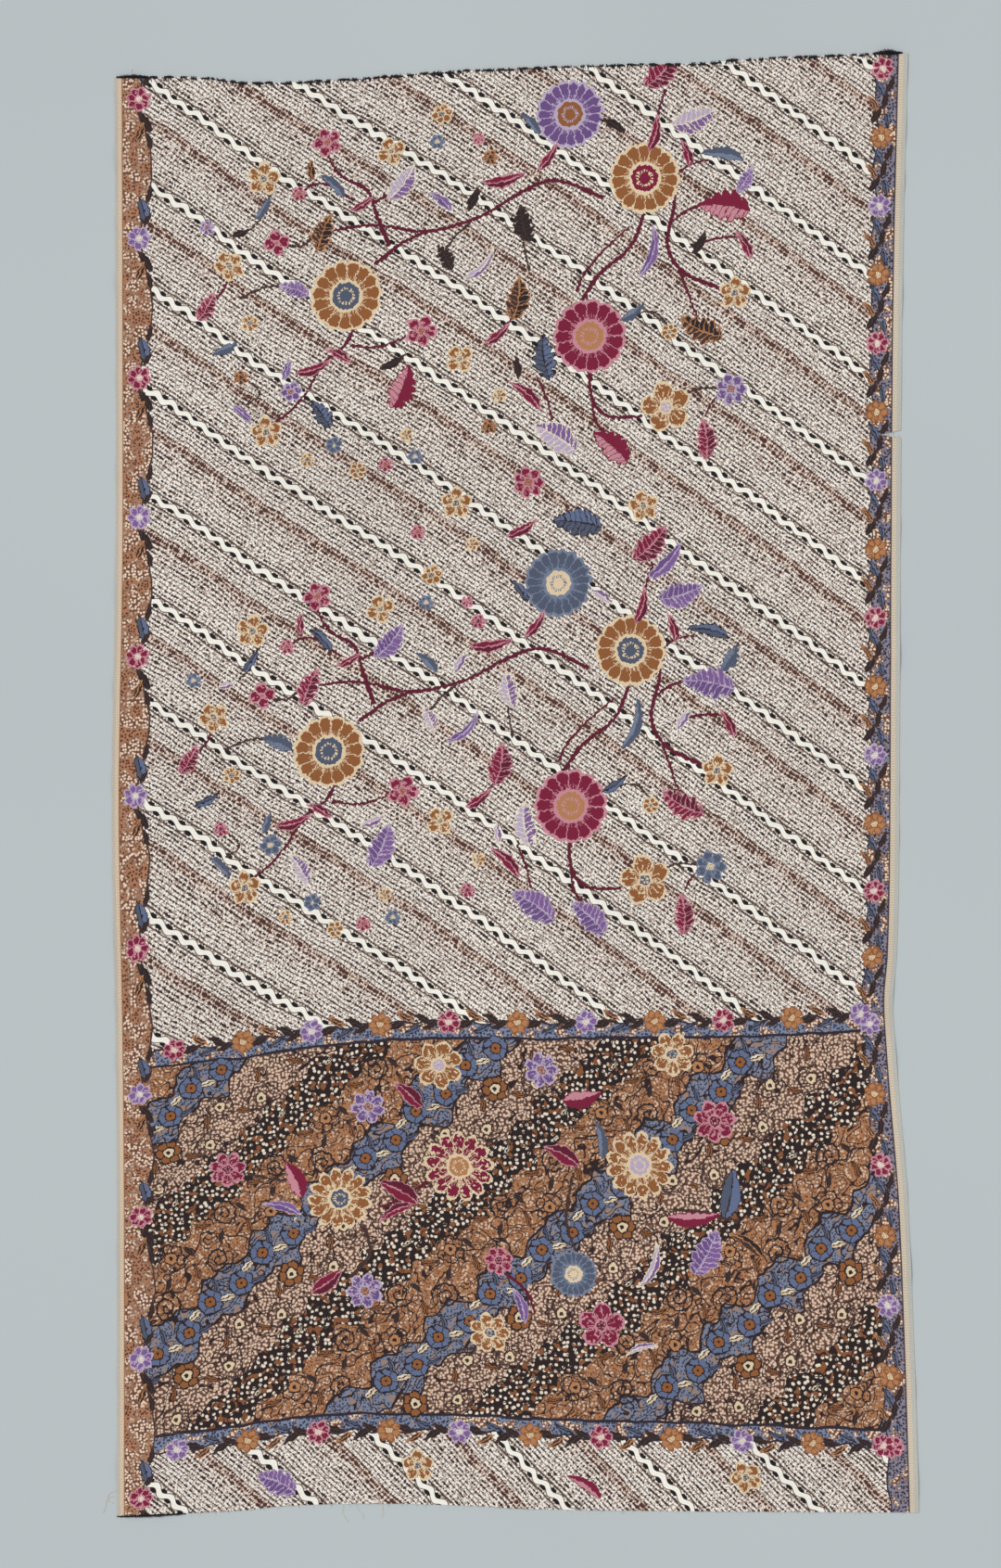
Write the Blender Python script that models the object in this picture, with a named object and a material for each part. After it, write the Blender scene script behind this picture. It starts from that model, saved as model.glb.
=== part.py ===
"""Batik sarong, opened out and laid flat.

One length of cotton cambric, woven edge to woven edge, with the black seam thread that
is left along its upper end and at three of its corners. The cloth lies face up on a
level surface: +Z is up, +Y runs along the cloth towards its upper end, and the origin
is the middle of the underside.

Cloth places are given in millimetres: "across" from the left selvedge and "along" from
the lower end. An edge's "out" is how far it lies outside the nominal straight edge.
"""

from collections import namedtuple
from math import radians

import bmesh
import bpy
from mathutils import Matrix
from mathutils import Vector

MM = 0.001
GAP = 0.3  # between pieces that touch, in mm

# The cloth, in mm
WIDTH = 1065.0
LENGTH = 1934.0
WALL = 1.2
CELLS_ACROSS = 26
CELLS_ALONG = 46

# How the four edges wander, in mm
Edge = namedtuple("Edge", "at out")
LEFT_EDGE = (
    Edge(0, 3),
    Edge(420, 3),
    Edge(655, 5),
    Edge(955, 10),
    Edge(1290, 5),
    Edge(1640, 5),
    Edge(1934, 6),
)
RIGHT_EDGE = (
    Edge(0, 11),
    Edge(170, 6),
    Edge(355, -1),
    Edge(430, -5),
    Edge(545, -15),
    Edge(620, -21),
    Edge(680, -24),
    Edge(740, -19),
    Edge(870, -16),
    Edge(1290, -14),
    Edge(1640, -11),
    Edge(1934, -4),
)
UPPER_EDGE = (
    Edge(0, -19),
    Edge(118, -19),
    Edge(181, -26),
    Edge(318, -21),
    Edge(430, -12),
    Edge(667, -2),
    Edge(779, 0),
    Edge(842, 5),
    Edge(941, 10),
    Edge(1065, 14),
)
LOWER_EDGE = (
    Edge(0, 19),
    Edge(93, 15),
    Edge(156, 12),
    Edge(231, 5),
    Edge(343, 2),
    Edge(468, 5),
    Edge(542, 9),
    Edge(717, 12),
    Edge(1065, 14),
)

# Low folds that the cloth keeps where it lies, in mm; heading is degrees from across
Fold = namedtuple("Fold", "across along heading length width height")
FOLDS = (
    Fold(1010, 690, 62, 150, 26, 1.3),
    Fold(1000, 815, 80, 230, 34, 0.8),
    Fold(930, 520, 118, 260, 44, 0.7),
    Fold(60, 960, 84, 420, 40, 0.8),
    Fold(90, 1560, 78, 300, 46, 0.6),
    Fold(300, 1905, 8, 260, 30, 0.7),
    Fold(760, 1890, -6, 330, 36, 0.6),
    Fold(250, 40, 6, 280, 34, 0.7),
    Fold(760, 60, -10, 300, 40, 0.5),
    Fold(480, 640, 4, 420, 52, 0.6),
    Fold(520, 1290, 58, 380, 60, 0.5),
)

# A slit torn in from the right selvedge, in mm
TEAR_ALONG = 1429.0
TEAR_DEPTH = 28.0
TEAR_MOUTH = 6.0

# Black seam thread, in mm: the rolls sewn over at the corners, and the run between them
Roll = namedtuple("Roll", "name end start stop radius swell")
CORNER_ROLLS = (
    Roll("corner_thread_upper_left", "upper", 0, 44, 1.1, 0.0),
    Roll("corner_thread_upper_right", "upper", 1020, 1064, 1.1, 1.3),
    Roll("corner_thread_lower_left", "lower", 0, 92, 1.1, 0.3),
)
EDGE_THREAD = Roll("edge_thread_upper", "upper", 46, 1018, 0.6, 0.0)
ROLL_STEP = 6.0
EDGE_THREAD_STEP = 30.0

# Colours as linear red, green, blue; rough is the surface roughness
Finish = namedtuple("Finish", "name colour rough")
COTTON = Finish("batik_cotton", (0.42, 0.36, 0.30), 0.85)
BLACK_THREAD = Finish("black_thread", (0.02, 0.018, 0.02), 0.8)


def empty_scene():
    for thing in list(bpy.data.objects):
        bpy.data.objects.remove(thing, do_unlink=True)


def collection(name):
    group = bpy.data.collections.new(name)
    bpy.context.scene.collection.children.link(group)
    return group


def material(finish):
    made = bpy.data.materials.new(finish.name)
    made.use_nodes = True
    shader = made.node_tree.nodes["Principled BSDF"]
    shader.inputs["Base Color"].default_value = (*finish.colour, 1.0)
    shader.inputs["Roughness"].default_value = finish.rough
    shader.inputs["Metallic"].default_value = 0.0
    return made


def edge_out(edge, at):
    """How far the edge lies out at this station, on a smooth curve through its rows."""
    last = len(edge) - 1
    row = 0
    while row < last - 1 and edge[row + 1].at < at:
        row += 1
    here, there = edge[row], edge[row + 1]
    before = edge[max(row - 1, 0)]
    after = edge[min(row + 2, last)]
    span = there.at - here.at
    t = min(max((at - here.at) / span, 0.0), 1.0)
    rise_here = (there.out - before.out) / (there.at - before.at) * span
    rise_there = (after.out - here.out) / (after.at - here.at) * span
    return (
        here.out * (1 + 2 * t) * (1 - t) ** 2
        + there.out * t * t * (3 - 2 * t)
        + rise_here * t * (1 - t) ** 2
        - rise_there * t * t * (1 - t)
    )


def on_plan(across, along):
    """Where a place on the cloth lies on the surface, in mm from the nominal middle."""
    left = -WIDTH / 2 - edge_out(LEFT_EDGE, along)
    right = WIDTH / 2 + edge_out(RIGHT_EDGE, along)
    lower = -LENGTH / 2 - edge_out(LOWER_EDGE, across)
    upper = LENGTH / 2 + edge_out(UPPER_EDGE, across)
    x = left + (right - left) * across / WIDTH
    y = lower + (upper - lower) * along / LENGTH
    return x, y


def on_end(across, along):
    """Where a place on the cloth's end lies: the end runs straight between cell corners."""
    cell = WIDTH / CELLS_ACROSS
    column = min(int(across / cell), CELLS_ACROSS - 1)
    share = across / cell - column
    near = Vector(on_plan(column * cell, along))
    far = Vector(on_plan((column + 1) * cell, along))
    return near.lerp(far, share)


def bell(distance):
    """1 at the middle of a fold, falling smoothly to 0 at its side or end."""
    inside = max(0.0, 1.0 - distance * distance)
    return inside * inside


def height(across, along):
    """The top face's height above the surface, in mm."""
    top = WALL
    for fold in FOLDS:
        offset = Vector((across - fold.across, along - fold.along))
        turned = Matrix.Rotation(-radians(fold.heading), 2) @ offset
        lengthwise = bell(2 * turned.x / fold.length)
        sideways = bell(turned.y / fold.width)
        top += fold.height * lengthwise * sideways
    return top


def to_object(bm, name, finish, group):
    """Makes the bmesh an object with its own material in the group."""
    bmesh.ops.recalc_face_normals(bm, faces=bm.faces[:])
    mesh = bpy.data.meshes.new(name)
    bm.to_mesh(mesh)
    bm.free()
    mesh.materials.append(material(finish))
    made = bpy.data.objects.new(name, mesh)
    group.objects.link(made)
    return made


def make_cloth(group):
    """The cloth: a grid laid to the edges, raised by its folds, with a flat underside."""
    bm = bmesh.new()
    bmesh.ops.create_grid(bm, x_segments=CELLS_ACROSS, y_segments=CELLS_ALONG, size=0.5)
    for vert in bm.verts:
        across = (vert.co.x + 0.5) * WIDTH
        along = (vert.co.y + 0.5) * LENGTH
        x, y = on_plan(across, along)
        vert.co = Vector((x, y, height(across, along))) * MM
    wall = bmesh.ops.extrude_face_region(bm, geom=bm.faces[:])
    for part in wall["geom"]:
        if isinstance(part, bmesh.types.BMVert):
            part.co.z = 0.0
    underside = [face for face in bm.faces if max(v.co.z for v in face.verts) == 0.0]
    bmesh.ops.dissolve_faces(bm, faces=underside)
    return to_object(bm, "cloth", COTTON, group)


def make_tear_cutter(group):
    """A wedge that opens the torn slit from the right selvedge inwards."""
    x, y = on_plan(WIDTH, TEAR_ALONG)
    length = 2 * TEAR_DEPTH
    bm = bmesh.new()
    bmesh.ops.create_cone(
        bm, cap_ends=True, segments=3, radius1=1.0, radius2=1.0, depth=20 * MM
    )
    bmesh.ops.rotate(
        bm, verts=bm.verts[:], cent=(0, 0, 0), matrix=Matrix.Rotation(radians(90), 3, "Z")
    )
    # The three-sided cone becomes a wedge, with its tip in the cloth and its mouth outside it
    low = min(vert.co.x for vert in bm.verts)
    high = max(vert.co.x for vert in bm.verts)
    wide = max(vert.co.y for vert in bm.verts)
    tip_is_low = sum(1 for vert in bm.verts if vert.co.x < low + 0.01) == 2
    for vert in bm.verts:
        reach = (vert.co.x - low) / (high - low)
        reach = reach if tip_is_low else 1 - reach
        sideways = vert.co.y / wide
        vert.co.x = (x - TEAR_DEPTH + reach * length) * MM
        vert.co.y = (y + sideways * TEAR_MOUTH) * MM
    cutter = to_object(bm, "tear_cutter", COTTON, group)
    cutter.hide_render = True
    cutter.display_type = "WIRE"
    return cutter


def cut(piece, cutter):
    modifier = piece.modifiers.new("tear", "BOOLEAN")
    modifier.operation = "DIFFERENCE"
    modifier.solver = "EXACT"
    modifier.object = cutter


def stations(roll, step):
    """Places along a roll, in mm across: even steps, and each cell corner that it passes."""
    count = round((roll.stop - roll.start) / step)
    even = [roll.start + (roll.stop - roll.start) * index / count for index in range(count + 1)]
    cell = WIDTH / CELLS_ACROSS
    corners = [cell * column for column in range(CELLS_ACROSS + 1)]
    passed = [at for at in corners if roll.start < at < roll.stop]
    kept = [at for at in even if all(abs(at - corner) > step / 4 for corner in passed)]
    return sorted(kept + passed)


def make_roll(roll, step, group):
    """Seam thread lying against one end of the cloth, thickest in the middle of a roll."""
    end_sign = 1 if roll.end == "upper" else -1
    along = LENGTH if roll.end == "upper" else 0.0
    places = stations(roll, step)
    curve = bpy.data.curves.new(roll.name, "CURVE")
    curve.dimensions = "3D"
    curve.bevel_depth = 1.0 * MM
    curve.bevel_resolution = 2
    curve.use_fill_caps = True
    line = curve.splines.new("POLY")
    line.points.add(len(places) - 1)
    for point, across in zip(line.points, places, strict=True):
        share = (across - roll.start) / (roll.stop - roll.start)
        radius = roll.radius + roll.swell * bell(2 * share - 1)
        x, y = on_end(across, along)
        clear = end_sign * (radius + GAP)
        point.co = (x * MM, (y + clear) * MM, radius * MM, 1.0)
        point.radius = radius
    curve.materials.append(material(BLACK_THREAD))
    made = bpy.data.objects.new(roll.name, curve)
    group.objects.link(made)
    return made


def settle(pieces, helpers):
    """Parents everything to one empty, placed so that the origin is the underside's middle."""
    bpy.context.view_layer.update()
    shapes = bpy.context.evaluated_depsgraph_get()
    lowest = Vector((1e9, 1e9, 1e9))
    highest = -lowest
    for piece in pieces:
        shown = piece.evaluated_get(shapes)
        mesh = shown.to_mesh()
        for vert in mesh.vertices:
            for axis in range(3):
                lowest[axis] = min(lowest[axis], vert.co[axis])
                highest[axis] = max(highest[axis], vert.co[axis])
        shown.to_mesh_clear()
    base = bpy.data.objects.new("sarong_base", None)
    bpy.context.scene.collection.objects.link(base)
    middle = (lowest + highest) / 2
    base.location = (-middle.x, -middle.y, -lowest.z)
    for piece in pieces + helpers:
        piece.parent = base


def main():
    empty_scene()
    group = collection("batik_sarong")
    cutters = collection("cutters")
    cloth = make_cloth(group)
    tear_cutter = make_tear_cutter(cutters)
    cut(cloth, tear_cutter)
    pieces = [cloth]
    for roll in CORNER_ROLLS:
        pieces.append(make_roll(roll, ROLL_STEP, group))
    pieces.append(make_roll(EDGE_THREAD, EDGE_THREAD_STEP, group))
    settle(pieces, [tear_cutter])
    bpy.context.view_layer.update()


main()
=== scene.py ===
import random
from collections import namedtuple
from math import cos
from math import pi
from math import radians
from math import sin

import bmesh
import bpy
import numpy as np
from mathutils import Matrix
from mathutils import Quaternion
from mathutils import Vector
from mathutils import noise


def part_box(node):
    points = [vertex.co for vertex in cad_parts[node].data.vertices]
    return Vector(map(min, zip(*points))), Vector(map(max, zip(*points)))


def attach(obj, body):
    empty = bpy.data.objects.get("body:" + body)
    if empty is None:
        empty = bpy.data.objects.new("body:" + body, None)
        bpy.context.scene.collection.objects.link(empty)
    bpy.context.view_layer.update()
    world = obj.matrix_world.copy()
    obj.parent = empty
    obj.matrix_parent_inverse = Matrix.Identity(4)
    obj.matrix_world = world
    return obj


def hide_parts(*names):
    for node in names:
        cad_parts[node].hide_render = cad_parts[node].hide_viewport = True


bl_info = {
    "name": "Batik Sarong",
    "version": (1, 0, 0),
    "blender": (4, 5, 0),
    "location": "3D View > Sidebar > Sarong",
    "description": "Makes an opened-out batik sarong: waxed and dyed cotton, seam thread and stage",
    "category": "Add Mesh",
}

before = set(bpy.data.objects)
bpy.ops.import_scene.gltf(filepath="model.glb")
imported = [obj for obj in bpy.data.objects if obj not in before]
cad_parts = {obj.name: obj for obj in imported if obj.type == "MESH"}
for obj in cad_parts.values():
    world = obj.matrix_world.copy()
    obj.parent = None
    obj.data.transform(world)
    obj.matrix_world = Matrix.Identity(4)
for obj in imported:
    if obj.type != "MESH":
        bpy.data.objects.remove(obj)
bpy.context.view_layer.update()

MM = 0.001


def table(kind, *rows):
    """Rows of one kind."""
    return tuple(kind(*row) for row in rows)


# ---------------------------------------------------------------------------
# The cut cloth, in mm: "across" from the left selvedge, "along" from the lower end
# ---------------------------------------------------------------------------

WIDTH = 1065.0
LENGTH = 1934.0

# How the four edges wander: "out" is how far an edge lies outside its nominal line
Edge = namedtuple("Edge", "at out")
LEFT_EDGE = table(
    Edge,
    (0, 3), (420, 3), (655, 5), (955, 10), (1290, 5), (1640, 5), (1934, 6),
)
RIGHT_EDGE = table(
    Edge,
    (0, 11), (170, 6), (355, -1), (430, -5), (545, -15), (620, -21), (680, -24), (740, -19),
    (870, -16), (1290, -14), (1640, -11), (1934, -4),
)
UPPER_EDGE = table(
    Edge,
    (0, -19), (118, -19), (181, -26), (318, -21), (430, -12), (667, -2), (779, 0), (842, 5),
    (941, 10), (1065, 14),
)
LOWER_EDGE = table(
    Edge,
    (0, 19), (93, 15), (156, 12), (231, 5), (343, 2), (468, 5), (542, 9), (717, 12), (1065, 14),
)

# Low folds and puckers; heading is degrees from across
Fold = namedtuple("Fold", "across along heading length width height")
FOLDS = table(
    Fold,
    (1010, 690, 62, 150, 26, 2.4),
    (1000, 815, 80, 230, 34, 1.6),
    (1046, 655, 84, 90, 14, 2.2),
    (930, 520, 118, 260, 44, 1.2),
    (60, 960, 84, 420, 40, 1.4),
    (90, 1560, 78, 300, 46, 1.0),
    (300, 1905, 8, 260, 30, 1.3),
    (760, 1890, -6, 330, 36, 1.1),
    (250, 40, 6, 280, 34, 1.2),
    (760, 60, -10, 300, 40, 0.9),
    (480, 640, 4, 420, 52, 1.0),
    (520, 1290, 58, 380, 60, 0.9),
    (330, 1080, 96, 300, 38, 0.7),
    (700, 900, 70, 260, 42, 0.7),
    (820, 1640, 100, 240, 36, 0.8),
    (180, 400, 60, 240, 40, 0.7),
    (620, 260, 12, 300, 46, 0.7),
)

# How much of each kind of unevenness there is: folds by this factor, the rest in mm
FOLD_LIFT = 1.25
RUMPLE_LIFT = 1.5
COCKLE_LIFT = 2.6
COCKLE_REACH = 60.0  # how far in from a selvedge its cockle dies out

# The slit torn in from the right selvedge
TEAR_ALONG = 1429.0
TEAR_DEPTH = 30.0
TEAR_MOUTH = 5.5

# ---------------------------------------------------------------------------
# The batik's layout, in mm
# ---------------------------------------------------------------------------

LEFT_SELVEDGE = 10.0
RIGHT_SELVEDGE = 13.0
PANEL_LOW = 116.0
PANEL_HIGH = 632.0
STRIP_DEPTH = 22.0
STRIP_STEP = 94.0  # between the flowers of a strip beside the panel
LEFT_STEP = 187.5  # between the left border's flowers
RIGHT_STEP = 91.1  # between the right border's flowers
BAND_STEP = 47.0  # between figures along a band of the head panel
ROPE_SLOPE = radians(32)
LOW_ROPE_SLOPE = radians(44.5)  # below the head panel
BAND_SLOPE = radians(41.5)

# How the head panel's two ruled lines bow off their nominal level
PANEL_TOP_BOW = table(
    Edge,
    (0, -38), (68, -32), (218, -16), (380, -4), (655, 0), (941, 3), (1065, 11),
)
PANEL_LOW_BOW = table(
    Edge,
    (0, -17), (44, -13), (180, 0), (318, 6), (717, 3), (1029, -7), (1065, -8),
)

# Kinds of figure, as the motif shader tells them apart
BLOOM = 1
LEAF = 2
STEM = 3
CURL = 4
RING = 5
DEPTH = 3  # figures that may overlie one another on a face

# kind, then: bloom petals and depth between them; leaf half width and teeth, each as a
# share of its half length; curl turns and line width in mm. bend curves a leaf.
Shape = namedtuple("Shape", "kind first second bend")
SHAPES = {
    "aster": Shape(BLOOM, 15, 0.10, 0.0),
    "fine_aster": Shape(BLOOM, 19, 0.12, 0.0),
    "blossom": Shape(BLOOM, 5, 0.50, 0.0),
    "four_petals": Shape(BLOOM, 4, 0.60, 0.0),
    "star": Shape(BLOOM, 7, 0.42, 0.0),
    "rosette": Shape(BLOOM, 6, 0.40, 0.0),
    "wreath": Shape(BLOOM, 13, 0.32, 0.0),
    "ring": Shape(RING, 6, 0.24, 0.0),
    "eyelet": Shape(RING, 6, 0.05, 0.0),
    "leaf": Shape(LEAF, 0.40, 0.0, 0.10),
    "lobed_leaf": Shape(LEAF, 0.52, 1.0, 0.10),
    "slim_leaf": Shape(LEAF, 0.27, 0.0, 0.16),
    "toothed_leaf": Shape(LEAF, 0.58, 0.75, 0.12),
    "feather_leaf": Shape(LEAF, 0.54, 1.0, -0.14),
    "blade": Shape(LEAF, 0.19, 0.0, 0.30),
    "sliver": Shape(LEAF, 0.34, 0.0, 0.06),
    "curl": Shape(CURL, 2.1, 1.5, 0.0),
}

# The order of the dyes in the shader's ramp; 0 is no dye
DYE_NAMES = (
    "none",
    "ochre",
    "cream",
    "maroon",
    "pink",
    "purple",
    "lilac",
    "slate",
    "blue",
    "umber",
    "soot",
    "tan",
    "peach",
    "violet",
    "madder",
    "grey",
)

# body, outline or vein, heart or second tone
Dyes = namedtuple("Dyes", "body line heart")
PALETTES = {
    "ochre": Dyes("ochre", "peach", "slate"),
    "ochre_maroon": Dyes("ochre", "peach", "maroon"),
    "ochre_lilac": Dyes("ochre", "peach", "lilac"),
    "purple": Dyes("purple", "lilac", "ochre"),
    "blue": Dyes("slate", "grey", "peach"),
    "maroon": Dyes("maroon", "pink", "ochre"),
    "maroon_aster": Dyes("maroon", "pink", "tan"),
    "maroon_dark": Dyes("maroon", "pink", "madder"),
    "maroon_wreath": Dyes("maroon", "peach", "tan"),
    "pink": Dyes("pink", "maroon", "pink"),
    "purple_leaf": Dyes("purple", "lilac", "violet"),
    "lilac_leaf": Dyes("lilac", "cream", "violet"),
    "slate_leaf": Dyes("slate", "soot", "blue"),
    "grey_leaf": Dyes("grey", "slate", "slate"),
    "umber_leaf": Dyes("umber", "tan", "soot"),
    "soot_leaf": Dyes("soot", "umber", "soot"),
    "maroon_leaf": Dyes("maroon", "pink", "madder"),
    "pink_leaf": Dyes("pink", "maroon", "maroon"),
    "madder_stem": Dyes("madder", "madder", "madder"),
    "umber_stem": Dyes("umber", "umber", "umber"),
    "small_violet": Dyes("violet", "lilac", "cream"),
    "small_maroon": Dyes("maroon", "pink", "cream"),
    "small_ochre": Dyes("tan", "ochre", "peach"),
    "dark_outline": Dyes("none", "soot", "tan"),
    "blue_ring": Dyes("blue", "soot", "ochre"),
    "umber_outline": Dyes("none", "umber", "peach"),
    "ochre_ring": Dyes("ochre", "soot", "peach"),
    "cream_leaf": Dyes("cream", "soot", "peach"),
    "ochre_leaf": Dyes("ochre", "soot", "ochre"),
    "curl": Dyes("soot", "soot", "soot"),
}

# One bouquet, in mm from its own middle; turn is degrees from across
Figure = namedtuple("Figure", "shape x y size turn palette")
BOUQUET = table(
    Figure,
    ("fine_aster", 112, 206, 46, 8, "purple"),
    ("aster", 214, 118, 48, 20, "ochre_maroon"),
    ("aster", -188, -24, 49, 4, "ochre"),
    ("aster", 142, -92, 50, 12, "maroon_aster"),
    ("blossom", 246, -188, 35, 30, "ochre_lilac"),
    ("blossom", -300, 140, 23, 12, "ochre"),
    ("blossom", -214, 186, 20, 40, "maroon"),
    ("four_petals", -128, 168, 20, 22, "ochre"),
    ("four_petals", -282, 52, 18, 10, "maroon"),
    ("blossom", -346, 20, 21, 50, "ochre"),
    ("blossom", -86, -78, 22, 66, "maroon"),
    ("four_petals", -34, -118, 20, 38, "ochre"),
    ("blossom", -296, -204, 22, 24, "ochre"),
    ("blossom", 338, -40, 22, 14, "ochre"),
    ("star", 334, -168, 22, 0, "purple"),
    ("rosette", -60, 214, 15, 15, "ochre"),
    ("rosette", -66, 176, 11, 0, "blue"),
    ("rosette", -10, 178, 9, 20, "maroon"),
    ("rosette", 6, 152, 11, 0, "umber_leaf"),
    ("rosette", -262, -150, 15, 10, "purple"),
    ("rosette", -318, -56, 13, 30, "ochre"),
    ("rosette", -240, -244, 11, 0, "ochre"),
    ("rosette", -204, -226, 12, 18, "blue"),
    ("rosette", -172, -262, 12, 8, "ochre"),
    ("rosette", -134, -256, 11, 26, "maroon"),
    ("rosette", -94, -248, 11, 0, "blue"),
    ("rosette", -106, -218, 10, 40, "ochre"),
    ("rosette", 6, -210, 11, 12, "umber_leaf"),
    ("rosette", 20, -168, 10, 0, "ochre"),
    ("toothed_leaf", -112, 124, 28, 52, "lilac_leaf"),
    ("slim_leaf", -206, 128, 23, 136, "grey_leaf"),
    ("feather_leaf", -218, 64, 27, 70, "umber_leaf"),
    ("lobed_leaf", -376, -38, 23, 62, "maroon_leaf"),
    ("slim_leaf", -350, -92, 20, 30, "grey_leaf"),
    ("lobed_leaf", -258, -12, 22, 160, "purple_leaf"),
    ("slim_leaf", -232, -120, 26, 18, "maroon_leaf"),
    ("slim_leaf", -198, -104, 20, 150, "maroon_leaf"),
    ("toothed_leaf", -112, -152, 31, 68, "pink_leaf"),
    ("lobed_leaf", -222, -182, 24, 126, "slate_leaf"),
    ("slim_leaf", 26, 122, 30, 12, "maroon_leaf"),
    ("feather_leaf", 52, 62, 26, 104, "soot_leaf"),
    ("blade", -6, 8, 31, 46, "lilac_leaf"),
    ("toothed_leaf", 44, -38, 29, 82, "umber_leaf"),
    ("feather_leaf", 82, -118, 31, 98, "slate_leaf"),
    ("toothed_leaf", 236, 262, 31, 48, "maroon_leaf"),
    ("toothed_leaf", 280, 196, 31, 18, "lilac_leaf"),
    ("slim_leaf", 226, 178, 26, 78, "maroon_leaf"),
    ("slim_leaf", 318, 146, 30, 168, "grey_leaf"),
    ("slim_leaf", 60, 196, 20, 130, "grey_leaf"),
    ("toothed_leaf", 322, 76, 36, 170, "pink_leaf"),
    ("blade", 222, 20, 36, 76, "purple_leaf"),
    ("feather_leaf", 292, -84, 33, 152, "umber_leaf"),
    ("slim_leaf", 56, -168, 29, 138, "maroon_leaf"),
    ("toothed_leaf", 96, -226, 34, 148, "lilac_leaf"),
    ("toothed_leaf", 172, -240, 31, 138, "pink_leaf"),
    ("lobed_leaf", 300, -232, 28, 96, "maroon_leaf"),
    ("slim_leaf", -166, 100, 19, 30, "maroon_leaf"),
    ("sliver", -236, 150, 15, 96, "umber_leaf"),
    ("rosette", -252, 118, 11, 10, "maroon"),
    ("slim_leaf", -300, 100, 19, 58, "grey_leaf"),
    ("sliver", -330, 66, 14, 20, "soot_leaf"),
    ("rosette", -376, 68, 11, 20, "purple"),
    ("slim_leaf", -60, 96, 21, 140, "purple_leaf"),
    ("sliver", -16, 98, 17, 66, "soot_leaf"),
    ("slim_leaf", 84, 150, 22, 56, "maroon_leaf"),
    ("lobed_leaf", -54, 20, 20, 118, "soot_leaf"),
    ("slim_leaf", -124, -118, 20, 24, "soot_leaf"),
    ("sliver", -268, -120, 15, 74, "purple_leaf"),
    ("rosette", -330, -130, 11, 30, "umber_leaf"),
    ("slim_leaf", -330, -178, 19, 140, "purple_leaf"),
    ("slim_leaf", 18, -86, 22, 40, "maroon_leaf"),
    ("sliver", 44, -130, 15, 100, "soot_leaf"),
    ("slim_leaf", 200, -62, 21, 36, "grey_leaf"),
    ("rosette", 250, -88, 12, 15, "ochre"),
    ("slim_leaf", 350, 24, 22, 120, "maroon_leaf"),
    ("sliver", 290, 30, 17, 60, "soot_leaf"),
    ("slim_leaf", 170, 190, 20, 150, "soot_leaf"),
    ("slim_leaf", 270, 150, 21, 110, "maroon_leaf"),
    ("lobed_leaf", 350, 110, 20, 60, "purple_leaf"),
)

# Stems of the bouquet: points in mm from its middle, then width at each end
Stem = namedtuple("Stem", "points start end palette")
BOUQUET_STEMS = table(
    Stem,
    (((-214, 170), (-196, 140), (-160, 118), (-146, 80), (-130, 40)), 1.5, 2.6, "madder_stem"),
    (((-112, 120), (-136, 108), (-150, 100)), 1.2, 1.8, "madder_stem"),
    (
        ((-206, 66), (-150, 70), (-80, 56), (-10, 72), (48, 104), (96, 118), (160, 92)),
        1.6,
        2.2,
        "madder_stem",
    ),
    (((-150, 16), (-110, 44), (-70, 58)), 2.2, 1.6, "madder_stem"),
    (((-282, 52), (-250, 46), (-232, 60)), 1.2, 1.4, "umber_stem"),
    (((-346, 4), (-356, -16), (-366, -30)), 1.2, 1.4, "madder_stem"),
    (((-330, -22), (-290, -6), (-240, -14)), 1.2, 1.6, "umber_stem"),
    (((-176, -66), (-190, -92), (-216, -112), (-240, -150)), 2.2, 1.4, "madder_stem"),
    (((-180, -92), (-140, -96), (-106, -84)), 1.6, 1.2, "madder_stem"),
    (((-240, -150), (-262, -176), (-290, -194)), 1.4, 1.2, "madder_stem"),
    (((214, 72), (196, 26), (154, -10), (132, -44)), 1.8, 2.4, "madder_stem"),
    (((196, 54), (162, 24), (134, -8), (124, -32)), 1.2, 1.6, "madder_stem"),
    (((246, 160), (256, 96), (246, 30), (268, -8), (322, -34)), 1.6, 2.2, "madder_stem"),
    (((252, 60), (276, 76), (300, 80)), 1.4, 1.4, "madder_stem"),
    (((262, -4), (276, -40), (288, -70)), 1.4, 1.4, "madder_stem"),
    (((142, -140), (146, -176), (168, -200), (214, -200)), 2.2, 1.6, "madder_stem"),
    (((146, -176), (150, -206), (164, -222)), 1.6, 1.4, "madder_stem"),
    (((270, -172), (292, -164), (316, -166)), 1.4, 1.2, "umber_stem"),
    (((300, -200), (308, -184), (318, -172)), 1.2, 1.2, "madder_stem"),
    (((72, -146), (84, -174), (92, -204)), 1.4, 1.2, "madder_stem"),
    (((60, -2), (54, 24), (50, 44)), 1.2, 1.2, "umber_stem"),
    (((240, 236), (232, 210), (228, 190)), 1.4, 1.2, "madder_stem"),
    (((-252, 112), (-238, 128), (-212, 128), (-178, 104)), 1.2, 1.4, "madder_stem"),
    (((-336, 60), (-304, 84), (-290, 118)), 1.0, 1.2, "umber_stem"),
    (((-60, 20), (-44, 44), (-20, 66)), 1.2, 1.4, "umber_stem"),
    (((-330, -126), (-304, -150), (-322, -166)), 1.0, 1.2, "umber_stem"),
    (((10, -92), (32, -72), (44, -56)), 1.2, 1.2, "madder_stem"),
    (((190, -70), (226, -60), (246, -76)), 1.2, 1.0, "umber_stem"),
    (((276, 24), (310, 34), (342, 34)), 1.2, 1.4, "madder_stem"),
    (((256, 120), (272, 134), (300, 140)), 1.2, 1.0, "madder_stem"),
)

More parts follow.
